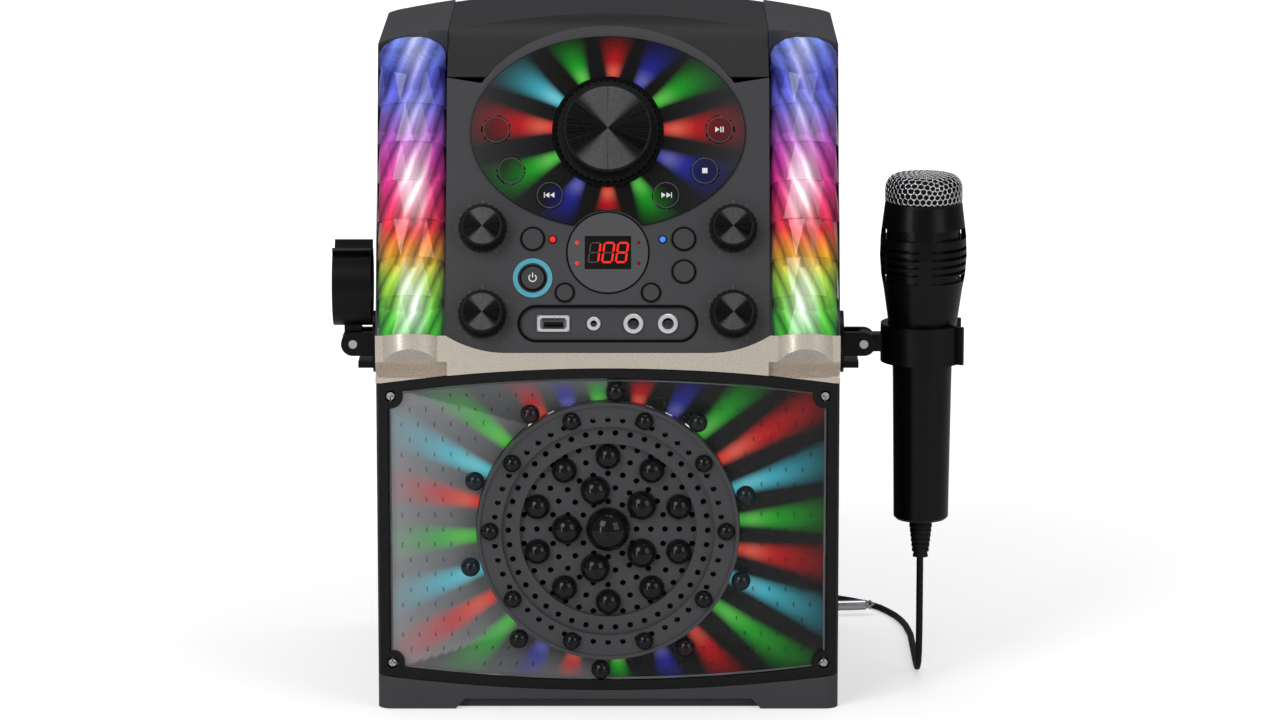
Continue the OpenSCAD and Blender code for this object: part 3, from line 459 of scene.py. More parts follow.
RED, GREEN, CYAN, BLUE = srgb("e5171d"), srgb("23c42c"), srgb("4fd2e6"), srgb("2b2fb4")
BEAMS = [
    (4, GREEN), (18, CYAN), (32, RED), (46, GREEN), (61, BLUE), (77, RED), (94, GREEN), (107, BLUE),
    (120, RED), (139, GREEN), (154, CYAN), (168, RED), (183, GREEN), (198, CYAN), (211, RED),
    (224, GREEN), (241, BLUE), (255, RED), (274, GREEN), (293, BLUE), (309, RED), (324, GREEN),
    (338, CYAN), (351, RED),
]
WINDOW_HALF_W = 125.4 * mm
WINDOW_MIDDLE_Z = 105.8 * mm
WINDOW_HALF_H = 79.6 * mm
WINDOW_BOW = 9 * mm
REFLECTOR_Y = -104.7 * mm
SIDE_SLOPE = math.tan(math.radians(5))
TOP_SLOPE = math.tan(math.radians(16))
SLOPE_EDGE = (131.5 * mm, 85.5 * mm)


def reflector_depth(x, z):
    """How far the reflector has sloped in at a place, and whether that is one of its side faces."""
    side = (SLOPE_EDGE[0] - abs(x)) * SIDE_SLOPE
    top = (SLOPE_EDGE[1] - abs(z - WINDOW_MIDDLE_Z)) * TOP_SLOPE
    return max(0, min(side, top)), side < top


def window_reach(a):
    """Distance from the grille's middle to the window's edge in the direction a, by halving."""
    low, high = GRILLE_R, 200 * mm
    for _ in range(24):
        r = (low + high) / 2
        x, z = r * math.cos(a), GRILLE_Z + r * math.sin(a) - WINDOW_MIDDLE_Z
        bow = WINDOW_BOW * (1 - (x / WINDOW_HALF_W) ** 2)
        inside = abs(x) < WINDOW_HALF_W and abs(z) < WINDOW_HALF_H + bow
        low, high = (r, high) if inside else (low, r)
    return low


def angle_off(a, b):
    """The angle between two directions, in degrees."""
    return abs((a - b + 180) % 360 - 180)


def beam_colour(beams, a, wide, fade, base, along):
    """The base colour with the nearest beam of light over it; along runs from 0 at its root to 1."""
    off, colour = min((angle_off(a, b), c) for b, c in beams)
    edge = wide * (0.6 + 0.4 * along)
    strength = max(0, 1 - (off / edge) ** 2) ** 1.15
    strength *= max(0, 1 - fade * max(0, along)) ** 1.7
    glow = mix(colour, (1, 1, 0.6), 0.12 * max(0, 1 - 4 * abs(along - 0.15)))
    return mix(base, glow, strength)


# the second colour is the grey of a painted reflection in the window's left half
WINDOW_DARK, WINDOW_REFLECTION_GREY = srgb("0b0b0c"), srgb("85878a")
# half the width of a beam in degrees, and how soon it fades
LEFT_BEAM, RIGHT_BEAM, OVAL_BEAM = (6.2, 0.78), (5.8, 0.72), (12.5, 0.82)
WINDOW_RAYS, WINDOW_RINGS = 720, 16
SKIN_LIFT = 0.12 * mm


def window_colour(x, z, a, along):
    """The painted light beams over black, and in the left half over the grey of a painted reflection
    that grows outwards.
    """
    if x >= 0:
        return beam_colour(BEAMS, a, *RIGHT_BEAM, WINDOW_DARK, along)
    # painted reflection: stronger outwards, and stronger on the side faces than on the top and bottom
    # ones
    reflection_share = (0.35 + 0.65 * along) * (1 if reflector_depth(x, z)[1] else 0.45)
    return beam_colour(BEAMS, a, *LEFT_BEAM, mix(WINDOW_DARK, WINDOW_REFLECTION_GREY, reflection_share), along)


def lit_window():
    """A skin just in front of the reflector, from the grille to the window's edge, painted with light
    beams and a painted reflection.
    """
    points, spots = [], []
    for i in range(WINDOW_RAYS):
        a = math.tau * i / WINDOW_RAYS
        reach = window_reach(a)
        for j in range(WINDOW_RINGS + 1):
            r = GRILLE_R + 0.4 * mm + (reach - GRILLE_R - 0.6 * mm) * j / WINDOW_RINGS
            x, z = r * math.cos(a), GRILLE_Z + r * math.sin(a)
            points.append((x, REFLECTOR_Y + reflector_depth(x, z)[0] - SKIN_LIFT, z))
            spots.append((math.degrees(a), j / WINDOW_RINGS))
    shape = points, ring_faces(WINDOW_RAYS, WINDOW_RINGS + 1)
    piece = add_piece("lit_window", shape, "cabinet", PAINT["reflector"], smooth=8)
    tint(piece, [window_colour(x, z, a, along) for (x, _, z), (a, along) in zip(points, spots)])


lit_window()

DIMPLE_STEP = 9.4 * mm
DIMPLE_R = 1.25 * mm
DIMPLE_ARC = [math.radians(110 + 28 * k) for k in range(6)]
DIMPLE_RIDGE = ((-0.28, 0), (0, -0.34), (0.28, 0))


def dimple(x, y, z):
    """A small raised arc."""
    points = []
    for t in DIMPLE_ARC:
        for dr, dy in DIMPLE_RIDGE:
            r = DIMPLE_R + dr * mm
            points.append((x + r * math.cos(t), y + dy * mm, z + r * math.sin(t)))
    faces = [(3 * k + j, 3 * k + 3 + j, 3 * k + 4 + j, 3 * k + 1 + j)
             for k in range(len(DIMPLE_ARC) - 1) for j in range(2)]
    return points, faces


def dimples():
    """Rows of dimples over the reflector's four faces, clear of the grille, the beads and the edge."""
    shapes = []
    for row in range(-9, 10):
        for col in range(-14, 15):
            x = (col + 0.5 * (row % 2)) * DIMPLE_STEP
            z = GRILLE_Z + row * DIMPLE_STEP * 0.94
            r = math.hypot(x, z - GRILLE_Z)
            a = math.atan2(z - GRILLE_Z, x)
            if r < GRILLE_R + 14 * mm or r > window_reach(a) - 6 * mm:
                continue
            shapes.append(dimple(x, REFLECTOR_Y + reflector_depth(x, z)[0] - 0.1 * mm, z))
    shape = joined(*shapes)
    add_piece("window_dimples", shape, "cabinet", PAINT["gloss_black"], smooth=60)


dimples()

OUTER_BEADS = 10
BEAD_RING_R = GRILLE_R + 6.4 * mm


def bead_glints():
    """The outer beads catch the colour of the beam behind them: a small lit spot under each."""
    spot = turned([(3.4 * mm, 0), (2.6 * mm, 0.8 * mm), (0.01 * mm, 1.1 * mm)], 20)
    shapes, colours = [], []
    for k in range(OUTER_BEADS):
        a = math.radians(15 + 36 * k)
        x, z = BEAD_RING_R * math.cos(a), GRILLE_Z + BEAD_RING_R * math.sin(a)
        shapes.append(at(front_matrix(x, z, REFLECTOR_Y + 3.5 * mm), spot))
        nearest = min((angle_off(math.degrees(a), b), c) for b, c in BEAMS)[1]
        colours += [mix(nearest, (0.2, 0.2, 0.2), 0.3)] * len(spot[0])
    piece = add_piece("bead_glints", joined(*shapes), "cabinet", PAINT["lit"])
    tint(piece, colours)


bead_glints()

BEVEL_RAYS = 240
BEVEL_PROFILE = ((0.3, 0.2), (1.1, 1.0), (1.5, 1.0))


def window_bevel():
    """A bevel along the inside of the window's frame, in a pale metal grey that is a painted highlight.
    """
    points = []
    for i in range(BEVEL_RAYS):
        a = math.tau * i / BEVEL_RAYS
        reach = window_reach(a)
        for inset, depth in BEVEL_PROFILE:
            r = reach - inset * mm
            points.append((r * math.cos(a), FRONT_Y + depth * mm, GRILLE_Z + r * math.sin(a)))
    shape = points, ring_faces(BEVEL_RAYS, len(BEVEL_PROFILE))
    add_piece("window_bevel", shape, "cabinet", PAINT["frame_edge_highlight"], smooth=20)


window_bevel()

# ---- the light columns ----

COLUMN_COLOURS = [
    (0.0, srgb("3cbf3a")), (0.12, srgb("58cc3c")), (0.24, srgb("a4d63e")), (0.33, srgb("f0a030")),
    (0.40, srgb("ee4040")), (0.5, srgb("ea2f74")), (0.62, srgb("dd3fae")), (0.72, srgb("a35cc4")),
    (0.8, srgb("6a6ad6")), (0.9, srgb("4a55cc")), (1.0, srgb("6f86e6")),
]
# places up a column where the light strip shows through most, and how strongly
COLUMN_GLOWS = ((0.14, 0.7), (0.22, 0.6), (0.52, 1.0), (0.6, 0.7), (0.78, 0.35), (0.97, 0.5))
COLUMN_R = 20 * mm
COLUMN_ROWS = 7
STREAK_PITCH = 9.5
STREAK_SLANT = 0.46
# the colour a column turns towards at its sides, as painted shade
COLUMN_SIDE_SHADE = (0.02, 0.01, 0.05)
DIAMOND = 9.0
CAP_STRETCH = 1.3
# a column's edges are cut in turn down to these lengths
CUT_LENGTHS = (9, 5, 3, 1.8)


def column_colour(t):
    for (t0, a), (t1, b) in zip(COLUMN_COLOURS, COLUMN_COLOURS[1:]):
        if t <= t1:
            return mix(a, b, (t - t0) / (t1 - t0))
    return COLUMN_COLOURS[-1][1]


def hashed(*numbers):
    """A steady value from 0 to 1 for a set of numbers."""
    return (math.sin(sum(n * k for n, k in zip(numbers, (127.1, 311.7, 74.7)))) * 43758.5453) % 1


def facet_light(p, low, high, facet, way):
    """A place's colour on a column: its height's colour in its facet's tone, lighter up each row as
    painted shading, under slanting streaks of painted highlight and painted shade, with a white glow
    where the light strip shows through and painted shade towards its sides.
    """
    t = (p.z - low.z) / (high.z - low.z)
    across = way * (p.x - (low.x + high.x) / 2) / COLUMN_R
    row = (t * COLUMN_ROWS) % 1
    shift = 0.3 * hashed(math.floor(t * COLUMN_ROWS), 4)
    leaf = (across * COLUMN_R / mm - STREAK_SLANT * p.z / mm) / STREAK_PITCH
    leaf = leaf + 0.12 * math.sin(math.pi * row) + shift
    light = (0.5 + 0.5 * math.cos(math.tau * leaf)) ** 4
    dark = (0.5 + 0.5 * math.cos(math.tau * leaf + 2.6)) ** 7
    # each facet's tone, lighter up each row as painted shading; light and dark are painted highlight
    # and painted shade streaks
    tone = (0.36 + 0.3 * hashed(facet, 2, 3) + 0.22 * row) * (1 - 0.6 * dark) + 0.34 * light
    colour = tuple(c * tone for c in column_colour(t))
    core = math.exp(-((across - 0.08) ** 2) / 0.11)
    core *= sum(math.exp(-(((t - spot) / 0.075) ** 2)) * power for spot, power in COLUMN_GLOWS)
    colour = mix(colour, (1, 0.97, 1), min(0.92, core * (0.34 + 0.7 * light)))
    return mix(colour, COLUMN_SIDE_SHADE, 0.72 * min(1, max(0, abs(across) - 0.6) / 0.4))


def cap_light(p, high, middle_x):
    """The slanting top: pale blue diamonds of several tones, with painted highlight lines between them,
    and darker towards its sides.
    """
    u, rise = (p.x - middle_x) / mm, (high.z - p.z) / mm * CAP_STRETCH
    a, b = (u + rise) / DIAMOND, (u - rise) / DIAMOND
    line = max(math.exp(-((((k % 1) - 0.5) / 0.09) ** 2)) for k in (a, b))
    tone = 0.3 + 0.5 * hashed(math.floor(a + 0.5), math.floor(b + 0.5))
    colour = mix(tuple(c * tone for c in srgb("8f9ae0")), (0.72, 0.76, 1), 0.5 * line)
    return mix(colour, (0.02, 0.02, 0.1), min(1, max(0, abs(u) - 16) / 3.5))


def crystal_column(node, side, way):
    """The column's own facets, cut finer so that each carries its colours."""
    mesh = nodes[node].data.copy()
    piece = linked(f"crystal_{side}", mesh)
    low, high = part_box(node)
    cut = bmesh.new()
    cut.from_mesh(mesh)
    bmesh.ops.remove_doubles(cut, verts=cut.verts, dist=0.00002)
    bmesh.ops.triangulate(cut, faces=cut.faces)
    top = max(cut.faces, key=lambda f: f.normal.z).normal.copy()
    facet = cut.faces.layers.int.new("facet")
    for i, face in enumerate(cut.faces):
        face[facet] = i
    for longest in CUT_LENGTHS:
        long_edges = [e for e in cut.edges if e.calc_length() > longest * mm]
        bmesh.ops.subdivide_edges(cut, edges=long_edges, cuts=1)
        bmesh.ops.triangulate(cut, faces=cut.faces)
    facets = [(face[facet], face.normal.dot(top) > 0.99) for face in cut.faces]
    cut.to_mesh(mesh)
    cut.free()
    repaint(mesh, PAINT["crystal"])
    middle_x = (low.x + high.x) / 2
    layer = mesh.color_attributes.new("tint", "FLOAT_COLOR", "CORNER")
    for face, (which, on_cap) in zip(mesh.polygons, facets):
        for loop in face.loop_indices:
            p = mesh.vertices[mesh.loops[loop].vertex_index].co
            light = cap_light(p, high, middle_x) if on_cap else facet_light(p, low, high, which, way)
            layer.data[loop].color = (*light, 1)
    mesh.polygons.foreach_set("use_smooth", [False] * len(mesh.polygons))
    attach(piece, "cabinet")
    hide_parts(node)


crystal_column("column_left", "left", 1)
crystal_column("column_right", "right", -1)

# ---- the oval disc panel with its beams ----

OVAL_BEAMS = [
    (85, RED), (57, BLUE), (32, GREEN), (3, RED), (-24, BLUE), (-60, GREEN), (-90, RED),
    (240, BLUE), (206, GREEN), (175, RED), (147, CYAN), (115, GREEN),
]
BUTTONS = {
    "program": (-64.2, 119.5, 7.6), "repeat": (-55.6, 95.6, 7.6), "previous": (-33.3, 81.4, 7.6),
    "next": (33.3, 81.4, 7.6), "stop": (55.6, 95.6, 7.6), "play": (64.2, 119.5, 7.6),
    "power": (-43.1, 33.6, 7.4), "open": (-43.1, 56.2, 6.9), "pairing": (43.5, 56.2, 6.9),
    "light": (43.5, 37.3, 6.9), "small_left": (-24.7, 25.2, 5.6), "small_right": (24.7, 25.2, 5.6),
}
OVAL_BUTTONS = ("program", "repeat", "previous", "next", "stop", "play")
OVAL_RAYS, OVAL_RINGS = 540, 26
SKIN_INNER = 30.5 * mm
BEAM_INNER = 32 * mm
OVAL_LOW = OVAL_V - 22 * mm
OVAL_DARK = srgb("0a0a0b")


def oval_colour(x, v):
    """The colour of the disc panel at a place on the leaning panel: painted light beams over black,
    greyer towards the sides as painted light.
    """
    a = math.degrees(math.atan2(v - OVAL_V, x))
    r = math.hypot(x, v - OVAL_V)
    reach = 1 / math.hypot(math.cos(math.radians(a)) / OVAL[0], math.sin(math.radians(a)) / OVAL[1])
    along = (r - BEAM_INNER) / (reach - BEAM_INNER)
    sideways = max(0, abs(x) / OVAL[0] - 0.25) / 0.75
    # painted light: greyer towards the sides, more so above OVAL_LOW
    lit = 0.4 * sideways**1.6 if v > OVAL_LOW else 0.25 * sideways
    return beam_colour(OVAL_BEAMS, a, *OVAL_BEAM, mix(OVAL_DARK, GREY, lit), along)


def oval_skin():
    """A thin painted skin over the disc panel, open round the display and the buttons."""
    height = panel_height("disc_panel") + 0.08 * mm
    points = []
    for i in range(OVAL_RAYS):
        a = math.tau * i / OVAL_RAYS
        reach = 1 / math.hypot(math.cos(a) / OVAL[0], math.sin(a) / OVAL[1]) - 0.4 * mm
        for j in range(OVAL_RINGS + 1):
            r = SKIN_INNER + (reach - SKIN_INNER) * j / OVAL_RINGS
            points.append((r * math.cos(a), OVAL_V + r * math.sin(a), height))

    def kept(face):
        x = sum(points[i][0] for i in face) / 4
        v = sum(points[i][1] for i in face) / 4
        if math.hypot(x, v - DISPLAY_V) < DISPLAY_R + 1.5 * mm:
            return False
        spots = (BUTTONS[name] for name in OVAL_BUTTONS)
        return all(math.hypot(x - bx * mm, v - bv * mm) > (br + 0.4) * mm for bx, bv, br in spots)

    faces = [f[::-1] for f in ring_faces(OVAL_RAYS, OVAL_RINGS + 1) if kept(f)]
    shape = at(panel_matrix(), (points, faces))
    piece = add_piece("oval_skin", shape, "cabinet", PAINT["reflector"])
    tint(piece, [oval_colour(x, v) for x, v, _ in points])


def oval_button(name):
    """A button in the oval: a cap in the panel's colours with their painted light, darker, and a thin
    line round it.
    """
    x, v, r = (k * mm for k in BUTTONS[name])
    node = "button_" + name
    place = panel_matrix(x, v, panel_height(node) + 0.06 * mm)
    cap = disc(r - 0.35 * mm, 48)
    piece = add_piece(f"cap_{name}", at(place, cap), node, PAINT["reflector"])
    tint(piece, [mix(oval_colour(x + dx, v + dv), (0, 0, 0), 0.35) for dx, dv, _ in cap[0]])
    profile = [(r - 0.55 * mm, 0.02 * mm), (r - 0.4 * mm, 0.12 * mm), (r - 0.25 * mm, 0.02 * mm)]
    add_piece(f"outline_{name}", at(place, turned(profile, 64)), node, PAINT["outline"])


oval_skin()
for name in OVAL_BUTTONS:
    oval_button(name)

# ---- knobs ----

KNOB_X, KNOB_UP, KNOB_LOW = 71.8 * mm, 62.2 * mm, 12.6 * mm
KNOB_R, MASTER_R = 13.9 * mm, 29.5 * mm
MASTER_GRIPS, KNOB_GRIPS = 48, 28
CAP_SHARE = 0.86
GRIP_OUTLINE = [(-0.45, 0), (0.45, 0), (0.3, 1.0), (-0.3, 1.0)]
BOX_FACES = [(0, 1, 2, 3), (7, 6, 5, 4), (0, 4, 5, 1), (1, 5, 6, 2), (2, 6, 7, 3), (3, 7, 4, 0)]


def spun_shade(a):
    """The painted reflection on spun metal at an angle: two dark fans and two light ones, with fine
    streaks.
    """
    fan = math.cos(math.radians(2 * (a - 88)))
    streak = hashed(round(a * 1.5), 11) - 0.5
    on_line = angle_off(a, 90) < 1.2 or angle_off(a, 270) < 1.2 or angle_off(a, 142) < 1.0
    value = 0.012 + 0.16 * (1 / (1 + math.exp(-9 * (fan - 0.1)))) + 0.02 * streak
    return value * (0.35 if on_line else 1)


def knob_dressing(node, x, v, radius):
    """A spun top with a painted reflection, a polished edge round it, and a row of grips round the
    skirt.
    """
    top = panel_height(node)
    r_cap = radius * CAP_SHARE
    r_top = r_cap - 1.3 * mm
    place = panel_matrix(x, v, top + 0.05 * mm)
    fan = flipped(turned([(0.05 * mm, 0.25 * mm), (r_top * 0.5, 0.12 * mm), (r_top, 0)], 240))
    piece = add_piece(f"spun_{node}", at(place, fan), node, PAINT["spun"])
    levels = [spun_shade(math.degrees(math.atan2(pv, px))) for px, pv, _ in fan[0]]
    tint(piece, [(level, level, level * 1.02) for level in levels])
    rim = turned([(r_top - 0.1 * mm, 0), (r_top + 0.25 * mm, 0.08 * mm), (r_top + 0.9 * mm, 0.0),
                  (r_top + 1.3 * mm, -0.6 * mm)], 96)
    add_piece(f"rim_{node}", at(place, flipped(rim)), node, PAINT["knob"])
    count = MASTER_GRIPS if radius == MASTER_R else KNOB_GRIPS
    bar = [(r_cap + (0.2 + 0.55 * h) * mm, w * mm, 0) for w, h in GRIP_OUTLINE]
    bar += [(px - 0.1 * mm, py * 0.8, -r_cap * 0.32) for px, py, _ in bar]
    turns = [Matrix.Rotation(math.tau * i / count, 4, "Z") for i in range(count)]
    grips = joined(*(at(turn, (bar, BOX_FACES)) for turn in turns))
    place = panel_matrix(x, v, top - 1.6 * mm)
    add_piece(f"grips_{node}", at(place, grips), node, PAINT["knob"])


knob_dressing("master_knob", 0, OVAL_V, MASTER_R)
for side, s in (("left", -1), ("right", 1)):
    knob_dressing(f"knob_upper_{side}", s * KNOB_X, KNOB_UP, KNOB_R)
    knob_dressing(f"knob_lower_{side}", s * KNOB_X, KNOB_LOW, KNOB_R)

# ---- buttons: dark surrounds, and marks of power, play, stop and skip ----


def ring_shape(r_in, r_out, h, sides=64):
    profile = [(r_in, 0), (r_in + 0.15 * mm, h), (r_out - 0.15 * mm, h), (r_out, 0)]
    return flipped(turned(profile, sides))


PLAIN_BUTTONS = ("power", "open", "pairing", "light", "small_left", "small_right")
for name in PLAIN_BUTTONS:
    x, v, r = (k * mm for k in BUTTONS[name])
    node = "button_" + name
    surround = ring_shape(r - 1.0 * mm, r - 0.02 * mm, 0.2 * mm)
    place = panel_matrix(x, v, panel_height(node))
    add_piece(f"surround_{name}", at(place, surround), node, PAINT["gloss_black"])


def arc_band(r, half, a0, a1, steps=24):
    """A flat band along an arc from a0 to a1 degrees, as a plate outline."""
    angles = [math.radians(a0 + (a1 - a0) * i / steps) for i in range(steps + 1)]
    outer = [((r + half) * math.cos(a), (r + half) * math.sin(a)) for a in angles]
    inner = [((r - half) * math.cos(a), (r - half) * math.sin(a)) for a in reversed(angles)]
    return outer + inner


def box_outline(x0, y0, x1, y1):
    return [(x0, y0), (x1, y0), (x1, y1), (x0, y1)]


def arrow(x, size, way):
    return [(x, -size), (x + way * 1.55 * size, 0), (x, size)][:: 1 if way > 0 else -1]


MARKS = {
    "power": [arc_band(2.1, 0.3, 130, 410), box_outline(-0.3, 0.2, 0.3, 2.9)],
    "stop": [box_outline(-1.5, -1.5, 1.5, 1.5)],
    "play": [arrow(-2.6, 1.6, 1), box_outline(0.3, -1.6, 0.95, 1.6), box_outline(1.6, -1.6, 2.25, 1.6)],
    "previous": [box_outline(-3.4, -1.6, -2.9, 1.6), arrow(-0.3, 1.6, -1), arrow(2.6, 1.6, -1)],
    "next": [box_outline(2.9, -1.6, 3.4, 1.6), arrow(0.3, 1.6, 1), arrow(-2.6, 1.6, 1)],
}
for name, outlines in MARKS.items():
    x, v, _ = (k * mm for k in BUTTONS[name])
    node = "button_" + name
    height = panel_height(node) + (0.1 if name in OVAL_BUTTONS else 0.02) * mm
    shapes = [plate([(px * mm, py * mm) for px, py in outline], 0.08 * mm) for outline in outlines]
    mark = at(panel_matrix(x, v, height), joined(*shapes))
    add_piece(f"mark_{name}", mark, node, PAINT["mark_white"], smooth=0)

# ---- scales beside the knobs: short ticks and end dots ----


def knob_scale(name, x, v, radius):
    shapes = []
    for k in range(11):
        a = math.radians(-60 + 30 * k)
        inner, outer = radius + 1.3 * mm, radius + (2.3 if k in (0, 5, 10) else 1.9) * mm
        bar = [(inner, -0.14 * mm), (outer, -0.14 * mm), (outer, 0.14 * mm), (inner, 0.14 * mm)]
        shapes.append(at(Matrix.Rotation(a, 4, "Z"), plate(bar, 0.05 * mm)))
    scale = at(panel_matrix(x, v, 0.02 * mm), joined(*shapes))
    add_piece(f"scale_{name}", scale, "cabinet", PAINT["tick"], smooth=0)


for side, s in (("left", -1), ("right", 1)):
    knob_scale(f"upper_{side}", s * KNOB_X, KNOB_UP, KNOB_R)
    knob_scale(f"lower_{side}", s * KNOB_X, KNOB_LOW, KNOB_R)

# ---- display: a dark window with three digits and four small lights ----

DIGIT_H, DIGIT_W, DIGIT_SLANT = 11.2, 5.6, 0.14
SEGMENTS = {
    "a": (0, 1, 1, 1), "b": (1, 0.5, 1, 1), "c": (1, 0, 1, 0.5), "d": (0, 0, 1, 0),
    "e": (0, 0, 0, 0.5), "f": (0, 0.5, 0, 1), "g": (0, 0.5, 1, 0.5),
}
LIT = {"1": "bc", "0": "abcdef", "8": "abcdefg"}
DIGIT_X, DIGIT_PITCH = -7.7, 7.9
LIGHT_PLACES = ((-17.7, 5.8), (-17.7, -6.2), (17.7, 5.8), (17.7, -6.2))
INDICATORS = (("red", -31.7, 55.9, "segment_lit"), ("blue", 31.4, 55.9, "blue_led"))


def segment(name, lit):
    """One bar of a digit as an outline with pointed ends, in millimetres from the digit's middle."""
    x0, y0, x1, y1 = SEGMENTS[name]
    half = 0.55 if lit else 0.35
    a = Vector(((x0 - 0.5) * DIGIT_W, (y0 - 0.5) * DIGIT_H))
    b = Vector(((x1 - 0.5) * DIGIT_W, (y1 - 0.5) * DIGIT_H))
    way = (b - a).normalized()
    side = Vector((-way.y, way.x))
    a, b = a + way * 0.25, b - way * 0.25
    outline = [a, a + way * half - side * half, b - way * half - side * half, b,
               b - way * half + side * half, a + way * half + side * half]
    return [((p.x + p.y * DIGIT_SLANT) * mm, p.y * mm) for p in outline]


def display_window():
    place = panel_matrix(0, DISPLAY_V, panel_height("display_window") + 0.04 * mm)
    rim = ring_shape(DISPLAY_R - 0.7 * mm, DISPLAY_R - 0.1 * mm, 0.12 * mm, 96)
    add_piece("display_rim", at(place, rim), "cabinet", PAINT["gloss_black"])
    face = disc(DISPLAY_R - 0.7 * mm, 96)
    add_piece("display_face", at(place, face), "cabinet", PAINT["display_face"])
    window = plate(box_outline(-13.3 * mm, -9.6 * mm, 13.3 * mm, 9.6 * mm), 0.06 * mm)
    add_piece("display_dark", at(place, window), "cabinet", PAINT["dark"], smooth=0)
    for which, digit in enumerate("108"):
        middle = (DIGIT_X + DIGIT_PITCH * which) * mm
        for word, paint, state in (("lit", "segment_lit", True), ("off", "segment_dark", False)):
            bars = [plate([(x + middle, y) for x, y in segment(s, state)], 0.1 * mm)
                    for s in SEGMENTS if (s in LIT[digit]) == state]
            if bars:
                shape = at(place @ Matrix.Translation((0, 0, 0.07 * mm)), joined(*bars))
                add_piece(f"digit_{which}_{word}", shape, "cabinet", PAINT[paint], smooth=0)
    dot = flipped(turned([(1.05 * mm, 0.05 * mm), (0.8 * mm, 0.3 * mm), (0.02 * mm, 0.4 * mm)], 20))
    for i, (x, v) in enumerate(LIGHT_PLACES):
        shape = at(place @ Matrix.Translation((x * mm, v * mm, 0)), dot)
        paint = PAINT["segment_lit" if i < 2 else "led_dim"]
        add_piece(f"display_light_{i}", shape, "cabinet", paint)


def indicators():
    """The two small lights beside the display, each in a black collar."""
    profile = [(1.75 * mm, 0), (1.4 * mm, 0.7 * mm), (0.7 * mm, 1.1 * mm), (0.02 * mm, 1.2 * mm)]
    dome = flipped(turned(profile, 28))
    collar = ring_shape(1.75 * mm, 2.5 * mm, 0.3 * mm, 32)
    height = panel_height("indicator_lenses")
    for name, x, v, paint in INDICATORS:
        shape = at(panel_matrix(x * mm, v * mm, height), dome)
        add_piece(f"indicator_{name}", shape, "cabinet", PAINT[paint])
        shape = at(panel_matrix(x * mm, v * mm, 0.05 * mm), collar)
        add_piece(f"indicator_collar_{name}", shape, "cabinet", PAINT["gloss_black"])


display_window()
indicators()

# ---- sockets: silver collars in a near-white that is partly a painted highlight, dark bores, and the tongue in the USB port ----

JACKS = ((14.6, 3.25, 5.8), (34.4, 3.25, 5.8), (-8.1, 1.8, 4.0))
PLATE_V = 7.3 * mm
USB_X = -31.2 * mm
USB_HALF = (9.1, 4.6)
USB_CUT = 1.2
# the collar's rings, by how far each has grown and how high it lies
USB_RINGS = ((0, 0.02), (0, 0.35), (-1.4, 0.35), (-1.4, -0.6))
# the signs of each corner, and which of its two points comes first
USB_CORNERS = ((1, 1, (0, 1)), (-1, 1, (1, 0)), (-1, -1, (0, 1)), (1, -1, (1, 0)))


def jacks():
    top = panel_height("jack_sockets")
    for i, (x, bore, nut) in enumerate(JACKS):
        place = panel_matrix(x * mm, PLATE_V, top)
        profile = [(bore + 0.05, -1.2), (bore + 0.1, 0.1), (bore + 0.5, 0.5),
                   (nut - 0.7, 0.5), (nut - 0.15, 0.1)]
        collar = flipped(turned([(r * mm, h * mm) for r, h in profile], 64))
        add_piece(f"jack_collar_{i}", at(place, collar), "cabinet", PAINT["bright"])
        wall = turned([((bore - 0.05) * mm, -9 * mm), ((bore - 0.05) * mm, -0.9 * mm)], 48)
        add_piece(f"jack_bore_{i}", at(place, wall), "cabinet", PAINT["dark"])


def usb_port():
    """A collar with cut corners, and the tongue inside."""
    port = panel_height("usb_socket")
    rings = []
    for grow, lift in USB_RINGS:
        a, b = (half * mm + grow * mm for half in USB_HALF)
        c = USB_CUT * mm
        rings += [(sx * (a - (c if k else 0)), sy * (b - (0 if k else c)), lift * mm)
                  for sx, sy, order in USB_CORNERS for k in order]
    faces = [(i * 8 + j, i * 8 + (j + 1) % 8, (i + 1) * 8 + (j + 1) % 8, (i + 1) * 8 + j)
             for i in range(3) for j in range(8)]
    collar = at(panel_matrix(USB_X, PLATE_V, port), (rings, faces))
    add_piece("usb_collar", collar, "cabinet", PAINT["bright"])
    tongue = plate(box_outline(-5.6 * mm, -0.6 * mm, 5.6 * mm, 1.1 * mm), 7 * mm)
    tongue = at(panel_matrix(USB_X, PLATE_V, port - 8 * mm), tongue)
    add_piece("usb_tongue", tongue, "cabinet", PAINT["dark"], smooth=0)


jacks()
usb_port()


def socket_surround():
    """The black raised line round the socket plate."""
    half_w, half_h, steps = 50.75 * mm, 9.8 * mm, 20
    path = [(half_w - half_h + half_h * math.cos(a), half_h * math.sin(a))
            for a in (math.radians(-90 + 180 * i / steps) for i in range(steps + 1))]
    path += [(-x, -y) for x, y in path]
    points, faces = [], []
    for i, (x, y) in enumerate(path):
        centre = (half_w - half_h) * (1 if i <= steps else -1)
        n = Vector((x - centre, y)).normalized()
        for out, lift in ((-0.6, 0.05), (-0.4, 0.6), (0.9, 0.6), (1.1, 0.05)):
            points.append((x + n.x * out * mm, y + n.y * out * mm, lift * mm))
    count = len(path)
    for i in range(count):
        k = (i + 1) % count
        faces += [(i * 4 + j, k * 4 + j, k * 4 + j + 1, i * 4 + j + 1)[::-1] for j in range(3)]
    shape = at(panel_matrix(0, PLATE_V, 0), (points, faces))
    add_piece("socket_surround", shape, "cabinet", PAINT["gloss_black"])


socket_surround()

# ---- microphone: a woven steel head over dark foam ----

HEAD_PROFILE = [
    (0, 16.4), (8, 16.3), (16.67, 15.9), (18.0, 15.27), (19.74, 13.94), (21.07, 12.2), (21.9, 10.2),
    (22.2, 8.0), (22.2, 4.0), (22.2, 0.0),
]
HEAD_FOOT = 188 * mm
HEAD_R = 22.2 * mm
HEAD_CUTS = 4
WIRE_R = 0.3 * mm
HEAD_LOW = 0.02


